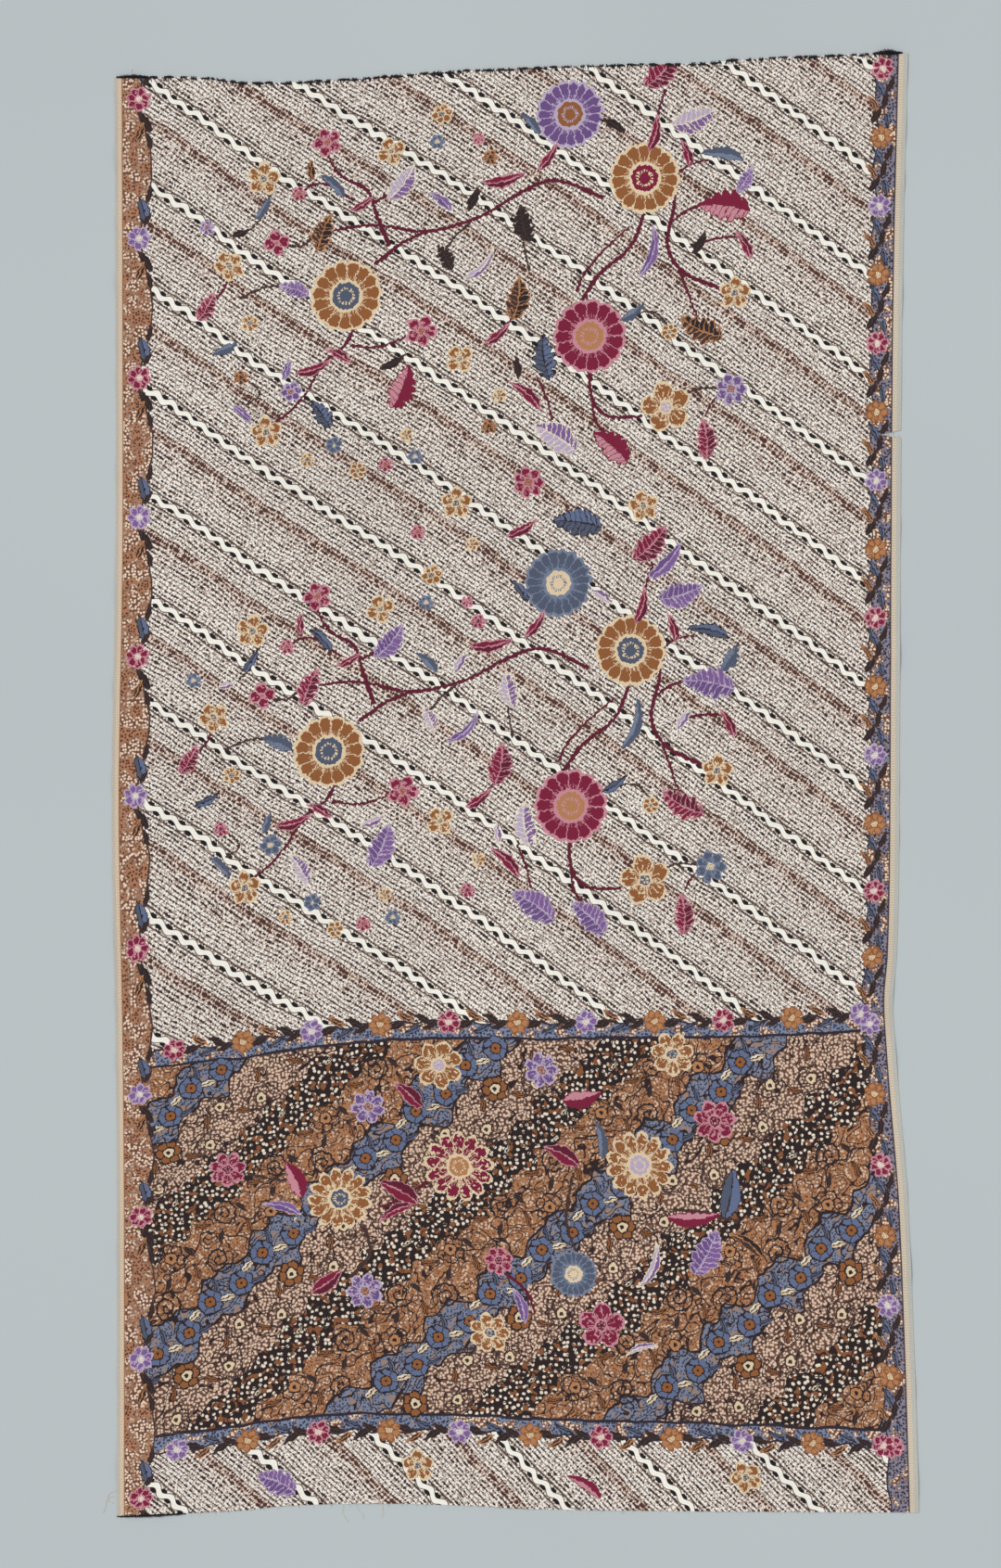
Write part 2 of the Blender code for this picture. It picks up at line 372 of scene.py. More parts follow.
# The lower bouquet is the upper one waxed again, with some palettes changed round
LOWER_PALETTES = {
    "purple": "blue",
    "ochre_maroon": "ochre",
    "ochre_lilac": "ochre",
    "lilac_leaf": "purple_leaf",
    "slate_leaf": "lilac_leaf",
    "pink_leaf": "purple_leaf",
    "purple_leaf": "grey_leaf",
    "umber_leaf": "maroon_leaf",
    "grey_leaf": "slate_leaf",
    "soot_leaf": "lilac_leaf",
}
Spray = namedtuple("Spray", "across along turn palettes")
SPRAYS = table(
    Spray,
    (500, 1664, 0, {}),
    (482, 1040, -2, LOWER_PALETTES),
)

# Large figures laid over the head panel, in mm across and along
PANEL_FIGURES = table(
    Figure,
    ("star", 150, 470, 26, 10, "maroon_dark"),
    ("star", 342, 542, 24, 30, "purple"),
    ("wreath", 462, 458, 48, 5, "maroon_wreath"),
    ("wreath", 300, 416, 44, 14, "ochre"),
    ("star", 440, 596, 34, 20, "ochre_lilac"),
    ("star", 580, 590, 24, 0, "purple"),
    ("wreath", 706, 462, 46, 25, "ochre_lilac"),
    ("star", 812, 520, 29, 8, "maroon_dark"),
    ("star", 760, 610, 30, 12, "ochre"),
    ("star", 512, 332, 20, 18, "maroon_dark"),
    ("star", 332, 288, 25, 26, "purple"),
    ("blossom", 648, 246, 32, 14, "maroon_dark"),
    ("star", 498, 232, 28, 0, "ochre"),
    ("fine_aster", 612, 316, 32, 12, "blue"),
    ("leaf", 240, 448, 29, 112, "pink_leaf"),
    ("slim_leaf", 222, 408, 27, 160, "purple_leaf"),
    ("leaf", 380, 424, 30, 150, "maroon_leaf"),
    ("slim_leaf", 374, 396, 26, 208, "maroon_leaf"),
    ("leaf", 398, 556, 25, 136, "maroon_leaf"),
    ("leaf", 282, 302, 26, 38, "maroon_leaf"),
    ("leaf", 634, 552, 28, 12, "pink_leaf"),
    ("leaf", 602, 476, 27, 152, "maroon_leaf"),
    ("slim_leaf", 656, 496, 26, 96, "grey_leaf"),
    ("slim_leaf", 776, 392, 36, 4, "pink_leaf"),
    ("leaf", 826, 424, 34, 78, "slate_leaf"),
    ("toothed_leaf", 792, 346, 34, 62, "purple_leaf"),
    ("blade", 716, 328, 34, 68, "lilac_leaf"),
    ("slim_leaf", 846, 356, 28, 142, "umber_leaf"),
    ("slim_leaf", 540, 272, 26, 108, "purple_leaf"),
    ("blade", 700, 214, 24, 200, "lilac_leaf"),
)
PANEL_STEMS = table(
    Stem,
    (((176, 462), (210, 450), (256, 444)), 1.6, 1.6, "umber_stem"),
    (((330, 378), (340, 340), (312, 306)), 2.4, 1.6, "umber_stem"),
    (((356, 402), (392, 420), (424, 440)), 1.8, 2.0, "madder_stem"),
    (((618, 340), (604, 390), (616, 452)), 1.6, 1.6, "umber_stem"),
    (((748, 404), (800, 396), (836, 386)), 2.0, 2.4, "umber_stem"),
    (((520, 316), (548, 292), (560, 262)), 1.6, 1.6, "madder_stem"),
)

# Single figures on the strip of body below the panel, and stray ones above it
LOOSE_FIGURES = table(
    Figure,
    ("blossom", 400, 48, 22, 20, "ochre"),
    ("blossom", 836, 46, 22, 44, "ochre"),
    ("toothed_leaf", 212, 32, 30, 150, "purple_leaf"),
    ("slim_leaf", 622, 30, 27, 148, "pink_leaf"),
    ("blossom", 462, 1352, 22, 16, "ochre"),
    ("star", 560, 1378, 22, 0, "maroon"),
    ("blossom", 716, 1344, 21, 30, "ochre"),
    ("toothed_leaf", 626, 1322, 34, 172, "slate_leaf"),
    ("slim_leaf", 748, 1270, 33, 48, "purple_leaf"),
    ("slim_leaf", 552, 1316, 24, 30, "maroon_leaf"),
    ("rosette", 410, 1314, 11, 0, "maroon"),
    ("rosette", 484, 1296, 10, 0, "ochre"),
)


def to_linear(level):
    share = level / 255.0
    return share / 12.92 if share <= 0.04045 else ((share + 0.055) / 1.055) ** 2.4


def tint(red, green, blue):
    """A colour mixed on the 0 to 255 scale, as linear red, green and blue."""
    return (to_linear(red), to_linear(green), to_linear(blue))


def dye_property(name, colour):
    return bpy.props.FloatVectorProperty(
        name=name,
        description=f"Colour of the {name.lower()} on the cloth",
        subtype="COLOR",
        size=3,
        min=0.0,
        max=1.0,
        default=colour,
    )


class SarongSizes(bpy.types.PropertyGroup):
    """Sizes that a user may change."""

    cell: bpy.props.FloatProperty(
        name="Cell",
        description="Size of the cloth's grid cells",
        default=0.0067,
        unit="LENGTH",
    )
    thickness: bpy.props.FloatProperty(
        name="Thickness",
        description="Thickness of the cotton shell",
        default=0.0009,
        unit="LENGTH",
    )
    rope_spacing: bpy.props.FloatProperty(
        name="Rope spacing",
        description="Distance between the body's diagonal ropes, measured across them",
        default=0.1176,
        unit="LENGTH",
    )
    band_spacing: bpy.props.FloatProperty(
        name="Band spacing",
        description="Distance from one dark band of the head panel to the next",
        default=0.247,
        unit="LENGTH",
    )
    thread: bpy.props.FloatProperty(
        name="Seam thread",
        description="Thickness of a strand of seam thread",
        default=0.0011,
        unit="LENGTH",
    )


class SarongDyes(bpy.types.PropertyGroup):
    """Colours that a user may change."""

    ochre: dye_property("Ochre", tint(150, 94, 54))
    cream: dye_property("Cream", tint(238, 226, 205))
    maroon: dye_property("Maroon", tint(128, 30, 60))
    pink: dye_property("Pink", tint(206, 142, 154))
    purple: dye_property("Purple", tint(112, 82, 136))
    lilac: dye_property("Lilac", tint(192, 174, 198))
    slate: dye_property("Slate", tint(84, 92, 112))
    blue: dye_property("Strip blue", tint(102, 114, 146))
    umber: dye_property("Umber", tint(72, 52, 48))
    soot: dye_property("Soot", tint(46, 36, 38))
    tan: dye_property("Tan", tint(186, 130, 88))
    peach: dye_property("Peach", tint(232, 208, 172))
    violet: dye_property("Violet", tint(130, 96, 152))
    madder: dye_property("Madder", tint(98, 28, 48))
    grey: dye_property("Grey", tint(122, 132, 154))
    selvedge: dye_property("Selvedge", tint(226, 203, 176))
    paper: dye_property("Studio paper", tint(203, 211, 211))
    seam_thread: dye_property("Seam thread", tint(34, 31, 36))


# ---------------------------------------------------------------------------
# Shader building
# ---------------------------------------------------------------------------


class Field:
    """A value that changes over a surface; arithmetic on it adds Math nodes."""

    def __init__(self, tree, socket):
        self.tree = tree
        self.socket = socket

    def math(self, operation, *others, clamp=False):
        node = self.tree.nodes.new("ShaderNodeMath")
        node.operation = operation
        node.use_clamp = clamp
        for slot, value in zip(node.inputs, (self, *others), strict=False):
            put(self.tree, slot, value)
        return Field(self.tree, node.outputs[0])

    def __add__(self, other):
        return self.math("ADD", other)

    __radd__ = __add__

    def __sub__(self, other):
        return self.math("SUBTRACT", other)

    def __rsub__(self, other):
        return self.math("MULTIPLY_ADD", -1.0, other)

    def __mul__(self, other):
        return self.math("MULTIPLY", other)

    __rmul__ = __mul__

    def __truediv__(self, other):
        return self.math("DIVIDE", other)

    def __rtruediv__(self, other):
        return self.math("POWER", -1.0) * other

    def __lt__(self, other):
        return self.math("LESS_THAN", other)

    def __gt__(self, other):
        return self.math("GREATER_THAN", other)

    def __and__(self, other):
        return self.math("MINIMUM", other)

    def __or__(self, other):
        return self.math("MAXIMUM", other)

    def __invert__(self):
        return self.math("MULTIPLY_ADD", -1.0, 1.0)

    def __abs__(self):
        return self.math("ABSOLUTE")

    def scaled(self, factor, offset):
        return self.math("MULTIPLY_ADD", factor, offset)

    def frac(self):
        return self.math("FRACT")

    def wave(self, period, phase=0.0):
        """A sine along this length."""
        return self.scaled(2 * pi / period, phase).math("SINE")

    def between(self, low, high):
        """0 at low rising to 1 at high; low may be the greater."""
        return self.math("MULTIPLY_ADD", 1 / (high - low), -low / (high - low), clamp=True)

    def near(self, width, soft=0.4):
        """1 within this distance of 0."""
        return abs(self).between(width + soft, width - soft)

    def pick(self, without, given):
        """without where this mask is 0, given where it is 1."""
        node = self.tree.nodes.new("ShaderNodeMix")
        node.data_type = "FLOAT"
        put(self.tree, node.inputs["Factor"], self)
        put(self.tree, node.inputs["A"], without)
        put(self.tree, node.inputs["B"], given)
        return Field(self.tree, node.outputs["Result"])

    def paint(self, under, over):
        """The over colour laid on the under one through this mask."""
        node = self.tree.nodes.new("ShaderNodeMix")
        node.data_type = "RGBA"
        put(self.tree, node.inputs["Factor"], self)
        put(self.tree, node.inputs[6], under)
        put(self.tree, node.inputs[7], over)
        return Field(self.tree, node.outputs[2])


def put(tree, slot, value):
    """Links a field, or sets a number or a colour, on an input."""
    if isinstance(value, Field):
        tree.links.new(value.socket, slot)
    elif isinstance(value, tuple) and len(value) == 3 and slot.type == "RGBA":
        slot.default_value = (*value, 1.0)
    else:
        slot.default_value = value


def pair(first, second, third=0.0):
    """Two or three fields as a vector."""
    tree = first.tree
    node = tree.nodes.new("ShaderNodeCombineXYZ")
    for slot, value in zip(node.inputs, (first, second, third), strict=True):
        put(tree, slot, value)
    return Field(tree, node.outputs[0])


def parts(vector):
    """A vector's three parts."""
    node = vector.tree.nodes.new("ShaderNodeSeparateXYZ")
    put(vector.tree, node.inputs[0], vector)
    return [Field(vector.tree, socket) for socket in node.outputs]


def cells(vector, random_share):
    """Distance from the nearest grain's middle, in cell widths."""
    node = vector.tree.nodes.new("ShaderNodeTexVoronoi")
    node.voronoi_dimensions = "2D"
    node.inputs["Scale"].default_value = 1.0
    node.inputs["Randomness"].default_value = random_share
    put(vector.tree, node.inputs["Vector"], vector)
    return Field(vector.tree, node.outputs["Distance"])


def cloud(vector, detail=2.0):
    """Soft noise from 0 to 1, and its colour as three such noises."""
    node = vector.tree.nodes.new("ShaderNodeTexNoise")
    node.noise_dimensions = "2D"
    node.inputs["Scale"].default_value = 1.0
    node.inputs["Detail"].default_value = detail
    put(vector.tree, node.inputs["Vector"], vector)
    return Field(vector.tree, node.outputs[0]), Field(vector.tree, node.outputs[1])


def ramp(value, stops, constant=False):
    """A colour from the stops, each a place and a colour."""
    node = value.tree.nodes.new("ShaderNodeValToRGB")
    band = node.color_ramp
    band.interpolation = "CONSTANT" if constant else "LINEAR"
    while len(band.elements) < len(stops):
        band.elements.new(1.0)
    for element, (place, colour) in zip(band.elements, stops, strict=True):
        element.position = place
        element.color = (*colour, 1.0)
    put(value.tree, node.inputs[0], value)
    return Field(value.tree, node.outputs[0])


def new_group(name, inputs, outputs):
    """A node group with named sockets: its tree, its input fields and its output node."""
    tree = bpy.data.node_groups.new(name, "ShaderNodeTree")
    for label, kind in inputs:
        tree.interface.new_socket(name=label, in_out="INPUT", socket_type=kind)
    for label, kind in outputs:
        tree.interface.new_socket(name=label, in_out="OUTPUT", socket_type=kind)
    source = tree.nodes.new("NodeGroupInput")
    sink = tree.nodes.new("NodeGroupOutput")
    return tree, [Field(tree, source.outputs[label]) for label, _ in inputs], sink


def use_group(tree, group, *values):
    """Places a group in a tree and returns its outputs."""
    node = tree.nodes.new("ShaderNodeGroup")
    node.node_tree = group
    for slot, value in zip(node.inputs, values, strict=True):
        put(tree, slot, value)
    return [Field(tree, socket) for socket in node.outputs]


VALUE = "NodeSocketFloat"
VECTOR = "NodeSocketVector"
COLOUR = "NodeSocketColor"


def motif_group():
    """Which dye a waxed figure has at a place in it: 0 outside the figure."""
    tree, (place, look, dyes), sink = new_group(
        "Batik motif",
        (("Place", VECTOR), ("Look", VECTOR), ("Dyes", VECTOR)),
        (("Dye", VALUE),),
    )
    x, y, size = parts(place)
    kind, first, second = parts(look)
    body, line, heart = parts(dyes)
    _, hand = cloud(pair(x / 5.5 + size, y / 5.5), 2.0)
    sway_x, sway_y, patchy = parts(hand)
    x = x + sway_x.scaled(6.4, -3.2)
    y = y + sway_y.scaled(6.4, -3.2)

    # Bloom: petals round a ringed heart, with a thin line between petals
    radius = (x * x + y * y).math("SQRT")
    reach = radius / size
    angle = y.math("ARCTAN2", x)
    petal = abs((angle * first * 0.5).math("COSINE"))
    rim = 1.0 - second * ~petal.math("SQRT")
    inner_rim = rim - 1.8 / size - 0.05
    gap = (petal * radius * 2.0 / first) < second.scaled(0.8, 0.55)
    eye = second.scaled(-0.45, 0.42)
    bloom = (reach < rim).pick(0.0, line)
    bloom = ((reach < inner_rim) & ~gap).pick(bloom, body)
    brushed = (abs((angle * first * 1.5).math("COSINE")) > 0.95) & (reach < 0.58)
    streaked = (patchy > 0.62) & (second > 0.3) & (reach < inner_rim)
    bloom = ((brushed & (size > 19.0)) | streaked).pick(bloom, line)
    bloom = (reach < eye + 0.09).pick(bloom, line)
    bloom = (reach < eye).pick(bloom, heart)
    bloom = ((abs(reach - eye * 0.55) < 0.04) & (petal > 0.7)).pick(bloom, line)

    # Leaf: pointed, two-toned, with a midrib and, where toothed, side veins
    run = x / size
    off = abs(y) / size
    lens = (1.0 - run * run).math("MAXIMUM", 0.0).math("POWER", 0.75)
    tooth = abs(((run - off * 0.5) * (2.6 * pi)).math("SINE")).math("SQRT")
    half = first * lens * run.scaled(-0.3, 1.0) * (1.0 - second * 0.58 * ~tooth)
    leaf = (off < half).pick(0.0, line)
    inner = half - second.scaled(0.9, 1.1) / size
    side = (y > 0.0).pick(heart, body)
    leaf = (off < inner).pick(leaf, side)
    rib = abs(y) < 0.75
    slant = ((run * 4.6 - off / first * 1.1).frac() < 0.17) & (second > 0.1)
    leaf = ((rib | slant) & (off < half)).pick(leaf, line)

    # Stem: x runs along it and size is its length
    share = x / size
    stalk = (abs(y) < (first + (second - first) * share) * 1.25) & (x > 0.0) & (share < 1.0)
    stem = stalk.pick(0.0, body)

    # Curl: a line wound in from its rim
    wound = (reach * first - angle / (2 * pi)).frac()
    coil = (abs(wound - 0.5) * size / first) < second
    curl = (coil & (reach < 1.0)).pick(0.0, body)

    # Ring: a scalloped line, a band of body dye, a second line and a dotted heart
    ring = (reach < rim).pick(0.0, line)
    ring = ((reach < rim - 2.4 / size) & ~gap).pick(ring, body)
    ring = (reach < 0.46).pick(ring, line)
    ring = (reach < 0.36).pick(ring, heart)
    ring = (reach < 0.13).pick(ring, line)

    dye = (kind < BLOOM + 0.5).pick((kind < LEAF + 0.5).pick(0.0, leaf), bloom)
    dye = (kind > STEM - 0.5).pick(dye, (kind > CURL - 0.5).pick(stem, curl))
    dye = (kind > RING - 0.5).pick(dye, ring)
    dye = dye * (kind > 0.5)
    put(tree, sink.inputs[0], dye)
    return tree


def body_group(sizes):
    """The body's ground: wavy cream ropes with rows of fine filling lines between them."""
    tree, (across, along), sink = new_group(
        "Body ground", (("Across", VALUE), ("Along", VALUE)), (("Color", COLOUR),)
    )
    spacing = sizes.rope_spacing / MM
    slope = ROPE_SLOPE
    drawn_in = along.scaled(0.0145, 5.0) * across / WIDTH
    sagged = along + across * across * 6.4e-5 + drawn_in
    level = across * sin(slope) + sagged * cos(slope)
    run = across * cos(slope) - along * sin(slope)

    # Below the head panel the ropes run steeper
    steep = LOW_ROPE_SLOPE
    below = along < PANEL_LOW
    level = below.pick(level, across * sin(steep) + along.scaled(cos(steep), 417.0))
    run = below.pick(run, across * cos(steep) - along * sin(steep))
    row = level.scaled(1 / spacing, -601.4 / spacing + 0.5)
    share = row.frac()
    offset = (share - 0.5) * spacing

    # Fine filling: dark dashes in rows, with one closer, redder stripe between two ropes
    pitch = spacing / 20
    ranked = offset / pitch
    rank = ranked.math("FLOOR")
    rule = abs(ranked.frac() - 0.5) * pitch
    dash, _ = cloud(pair(run / 2.2, rank * 5.17), 0.0)
    stroke, _ = cloud(pair(run / 30.0, rank * 3.31), 1.0)
    zone = ramp(
        share,
        (
            (0.0, (0.62, 0.25, 0.0)),
            (0.065, (0.62, 0.30, 0.0)),
            (0.085, (0.98, 0.85, 0.0)),
            (0.165, (0.98, 0.85, 0.0)),
            (0.185, (0.50, 0.10, 0.0)),
            (0.28, (0.56, 0.05, 0.0)),
            (0.60, (0.60, 0.05, 0.0)),
            (0.70, (0.50, 0.05, 0.0)),
            (0.85, (0.50, 0.05, 0.0)),
            (0.90, (0.62, 0.20, 0.0)),
            (1.0, (0.62, 0.25, 0.0)),
        ),
    )
    weight, red, _ = parts(zone)
    breadth = (dash * 5.6 + stroke * 2.0 - 2.25) * weight
    inked = (breadth - rule).between(-0.25, 0.35)
    grain = cells(pair(run / 3.5, level / 3.3), 0.9)
    bright = red.paint(tint(255, 249, 240), tint(240, 220, 204))
    dim = red.paint(tint(184, 162, 148), tint(170, 138, 122))
    colour = grain.between(0.34, 0.58).paint(bright, dim)
    ink = red.paint(tint(52, 40, 40), tint(88, 54, 46))
    colour = inked.paint(colour, ink)

    # The rope: a wavy cream cord with dark wedges in its hollows
    period = 25.3
    sway = run.wave(period)
    drift = offset - sway * 2.7
    outside = abs(drift)
    wedge = (drift * sway * -1.0) > outside * outside.scaled(0.12, -0.28)
    colour = (abs(offset) - 9.8).near(0.8).paint(colour, tint(92, 74, 66))
    colour = outside.between(5.6, 4.6).paint(colour, tint(112, 92, 80))
    colour = (wedge & (outside < 9.0)).paint(colour, tint(32, 24, 25))
    colour = outside.between(3.9, 3.3).paint(colour, tint(255, 250, 239))
    put(tree, sink.inputs[0], colour)
    return tree


def panel_group(sizes):
    """The head panel's ground: diagonal bands, dark, brown, blue and light dotted."""
    tree, (across, along), sink = new_group(
        "Head panel ground", (("Across", VALUE), ("Along", VALUE)), (("Color", COLOUR),)
    )
    spacing = sizes.band_spacing / MM
    slope = BAND_SLOPE
    level = across * sin(slope) - along * cos(slope)
    run = across * cos(slope) + along * sin(slope)
    swell, _ = cloud(pair(run / 30.0, level / 60.0), 2.0)
    ragged = level + swell.scaled(26.0, -13.0) + run.wave(46.0) * 5.0
    step = ragged.scaled(1 / spacing, 6.0 / spacing + 10.0).frac() * spacing

    grain = cells(pair(across / 4.4, along / 4.4), 0.85)
    pearl = cells(pair(across / 7.8, along / 7.8), 0.75)
    scroll, _ = cloud(pair(run / 34.0, level / 22.0), 1.0)
    mottle, _ = cloud(pair(across / 11.0, along / 11.0), 1.0)

    brown = grain.between(0.40, 0.22).paint(tint(180, 124, 84), tint(112, 72, 54))
    flecked = grain.between(0.46, 0.26).paint(tint(134, 92, 70), tint(230, 192, 160))
    brown = mottle.between(0.44, 0.56).paint(brown, flecked)
    light = grain.between(0.50, 0.26).paint(tint(108, 76, 62), tint(236, 204, 180))
    blue = grain.between(0.36, 0.20).paint(tint(126, 132, 154), tint(60, 62, 82))
    blue = (mottle > 0.60).paint(blue, tint(158, 132, 120))
    dark = pearl.between(0.33, 0.22).paint(tint(44, 32, 31), tint(246, 230, 210))
    dark = (mottle > 0.62).paint(dark, tint(140, 88, 56))

    bulge = run.wave(94.0) * 9.0
    from_brown = step - 101.0 + bulge
    from_light = step - 153.0 - bulge
    colour = (step > 32.0).paint(dark, brown)
    colour = (from_brown > 0.0).paint(colour, blue)
    colour = (from_light > 0.0).paint(colour, light)
    colour = (step > 222.0).paint(colour, dark)

    # Dark outlines of the blue band, and scrolling lines that wander over every band
    outline = from_brown.near(1.8) | from_light.near(1.8)
    tendril = (step - 66.0 - run.wave(118.0) * 15.0).near(1.1)
    scrolls = (scroll - 0.46).near(0.017, 0.005) | (scroll - 0.58).near(0.015, 0.005)
    colour = (outline | tendril | scrolls).paint(colour, tint(48, 34, 36))
    put(tree, sink.inputs[0], colour)
    return tree


def weave_group():
    """Plain weave: the height of fine warp and weft, and slubs in the yarn."""
    tree, (across, along), sink = new_group(
        "Plain weave", (("Across", VALUE), ("Along", VALUE)), (("Height", VALUE),)
    )
    yarn_pitch = 1.3
    warp = across.wave(yarn_pitch)
    weft = along.wave(yarn_pitch)
    slub, _ = cloud(pair(across / 14.0, along / 1.4), 2.0)
    put(tree, sink.inputs[0], warp * weft * 0.5 + slub)
    return tree


def plain_material(name, colour, rough):
    made = bpy.data.materials.new(name)
    made.use_nodes = True
    shader = made.node_tree.nodes["Principled BSDF"]
    shader.inputs["Base Color"].default_value = (*colour, 1.0)
    shader.inputs["Roughness"].default_value = rough
    shader.inputs["Specular IOR Level"].default_value = 0.25
    return made, made.node_tree, shader


def relief(tree, shader, height, strength):
    """Fine relief, up to a fifth of a millimetre high."""
    bump = tree.nodes.new("ShaderNodeBump")
    bump.inputs["Strength"].default_value = strength
    bump.inputs["Distance"].default_value = 0.2 * MM
    put(tree, bump.inputs["Height"], height)
    tree.links.new(bump.outputs[0], shader.inputs["Normal"])


def attribute(tree, name):
    node = tree.nodes.new("ShaderNodeAttribute")
    node.attribute_name = name
    return Field(tree, node.outputs["Vector"])


def batik_material(sizes, dyes):
    """Waxed and dyed cotton: its grounds, borders, figures, weave and fading."""
    made, tree, shader = plain_material("batik_cotton", (0.5, 0.45, 0.4), 0.88)
    shader.inputs["Sheen Weight"].default_value = 0.08
    chart = tree.nodes.new("ShaderNodeUVMap")
    chart.uv_map = "cloth"
    flat_across, flat_along, _ = parts(Field(tree, chart.outputs[0]))
    _, hand = cloud(pair(flat_across / 46.0, flat_along / 46.0), 2.0)
    sway_across, sway_along, _ = parts(hand)
    across = flat_across + sway_across.scaled(7.0, -3.5)
    along = flat_along + sway_along.scaled(7.0, -3.5)
    from_right = WIDTH - across
    from_right_flat = WIDTH - flat_across

    body_ground = use_group(tree, body_group(sizes), across, along)[0]
    panel_ground = use_group(tree, panel_group(sizes), across, along)[0]
    grain = cells(pair(flat_across / 4.3, flat_along / 4.3), 0.8)
    blue_dots = grain.between(0.42, 0.28).paint(tint(130, 138, 162), tint(56, 58, 80))
    slate_dots = grain.between(0.42, 0.28).paint(tint(138, 132, 148), tint(58, 48, 58))
    rusty, _ = cloud(pair(flat_across / 20.0, flat_along / 20.0), 2.0)
    brown_dots = grain.between(0.46, 0.26).paint(tint(116, 76, 60), tint(250, 222, 196))
    ruddy = grain.between(0.42, 0.24).paint(tint(180, 126, 94), tint(84, 54, 44))
    mixed = rusty.between(0.52, 0.58)
    blue_dots = mixed.paint(blue_dots, brown_dots)
    slate_dots = mixed.paint(slate_dots, brown_dots)
    brown_dots = rusty.between(0.44, 0.58).paint(brown_dots, ruddy)

    # Head panel between its two ruled lines, and a blue strip outside each
    in_panel = (along > PANEL_LOW) & (along < PANEL_HIGH)
    colour = in_panel.paint(body_ground, panel_ground)
    scallop = across.wave(STRIP_STEP / 2) * 2.5
    upper = along - PANEL_HIGH
    lower = PANEL_LOW - along
    for out in (upper, lower):
        far = out - scallop
        strip = (out > 0.0) & (far < STRIP_DEPTH)
        colour = strip.paint(colour, blue_dots)
        lines = out.near(1.9) | (far - STRIP_DEPTH).near(1.2)
        colour = lines.paint(colour, tint(48, 42, 54))

    # Left border: dotted brown that swells inwards between its flowers
    edge = across - along.wave(LEFT_STEP, -2.58).scaled(7.5, 42.5)
    colour = (edge < 0.0).paint(colour, brown_dots)
    colour = edge.near(1.1).paint(colour, tint(74, 52, 46))

    # Right border: dotted slate
    inner = from_right - along.wave(RIGHT_STEP, -2.0).scaled(2.5, 40.0)
    colour = (inner < 0.0).paint(colour, slate_dots)
    colour = inner.near(0.9).paint(colour, tint(50, 42, 52))

    # Selvedges: undyed woven edges, each inside a thin line
    tick = (flat_along / 3.4).frac() > 0.6
    selvedge = tuple(dyes.selvedge)
    woven = (tick * 0.35).paint(selvedge, tint(190, 154, 128))
    woven = (flat_across < LEFT_SELVEDGE * 0.45).paint(woven, tint(198, 188, 174))
    greyed = (tick * 0.5).paint(tint(224, 208, 184), tint(178, 160, 142))
    greyed = (from_right_flat < RIGHT_SELVEDGE * 0.45).paint(greyed, tint(194, 192, 184))
    colour = (flat_across < LEFT_SELVEDGE).paint(colour, woven)
    colour = (flat_across - LEFT_SELVEDGE).near(0.7).paint(colour, tint(150, 104, 74))
    colour = (from_right_flat < RIGHT_SELVEDGE).paint(colour, greyed)
    colour = (from_right_flat - RIGHT_SELVEDGE).near(1.0).paint(colour, tint(70, 60, 72))

    # Figures, from the lowest layer up
    motif = motif_group()
    dye = None
    for layer in range(DEPTH):
        place = attribute(tree, f"place_{layer}")
        look = attribute(tree, f"look_{layer}")
        tints = attribute(tree, f"dyes_{layer}")
        found = use_group(tree, motif, place, look, tints)[0]
        dye = found if dye is None else (found > 0.5).pick(dye, found)
    count = len(DYE_NAMES)
    stops = [(0.0, (0.0, 0.0, 0.0))]
    for rank, name in enumerate(DYE_NAMES[1:], 1):
        stops.append(((rank - 0.5) / count, tuple(getattr(dyes, name))))
    figure = ramp(dye / count, stops, constant=True)
    colour = (dye > 0.5).paint(colour, figure)

    # Uneven dye, fine grain and a little fading
    patchy, _ = cloud(pair(flat_across / 210.0, flat_along / 210.0), 4.0)
    speck, _ = cloud(pair(flat_across / 2.1, flat_along / 2.1), 2.0)
    shade = patchy.scaled(0.16, 0.92) * speck.scaled(0.34, 0.83)
    tone = tree.nodes.new("ShaderNodeMix")
    tone.data_type = "RGBA"
    tone.blend_type = "MULTIPLY"
    tone.inputs["Factor"].default_value = 1.0
    put(tree, tone.inputs[6], colour)
    put(tree, tone.inputs[7], pair(shade, shade, shade))
    tree.links.new(tone.outputs[2], shader.inputs["Base Color"])

    height = use_group(tree, weave_group(), flat_across, flat_along)[0]
    relief(tree, shader, height, 0.35)
    return made


def thread_material(name, colour, twist):
    """Spun thread: a flat dye with a paler twist along it."""
    made, tree, shader = plain_material(name, colour, 0.85)
    chart = tree.nodes.new("ShaderNodeTexCoord")
    place = Field(tree, chart.outputs["Object"])
    x, y, _ = parts(place)
    ply = ((x + y) / (twist * MM)).frac() > 0.5
    fluff, _ = cloud(pair(x * 900.0, y * 900.0), 2.0)
    lighter = tuple(min(1.0, part * 1.9 + 0.012) for part in colour)
    painted = (ply * 0.6 * fluff).paint(colour, lighter)
    put(tree, shader.inputs["Base Color"], painted)
    relief(tree, shader, ply + fluff, 0.5)
    return made


# ---------------------------------------------------------------------------
# Cloth geometry
# ---------------------------------------------------------------------------


def edge_out(edge, at):
    """How far the edge lies out at this station, on a smooth curve through its rows."""
    last = len(edge) - 1
    row = 0
    while row < last - 1 and edge[row + 1].at < at:
        row += 1
    here, there = edge[row], edge[row + 1]
    before = edge[max(row - 1, 0)]
    after = edge[min(row + 2, last)]
    span = there.at - here.at
    t = min(max((at - here.at) / span, 0.0), 1.0)
    rise_here = (there.out - before.out) / (there.at - before.at) * span
    rise_there = (after.out - here.out) / (after.at - here.at) * span
    return (
        here.out * (1 + 2 * t) * (1 - t) ** 2
        + there.out * t * t * (3 - 2 * t)
        + rise_here * t * (1 - t) ** 2
        - rise_there * t * t * (1 - t)
    )


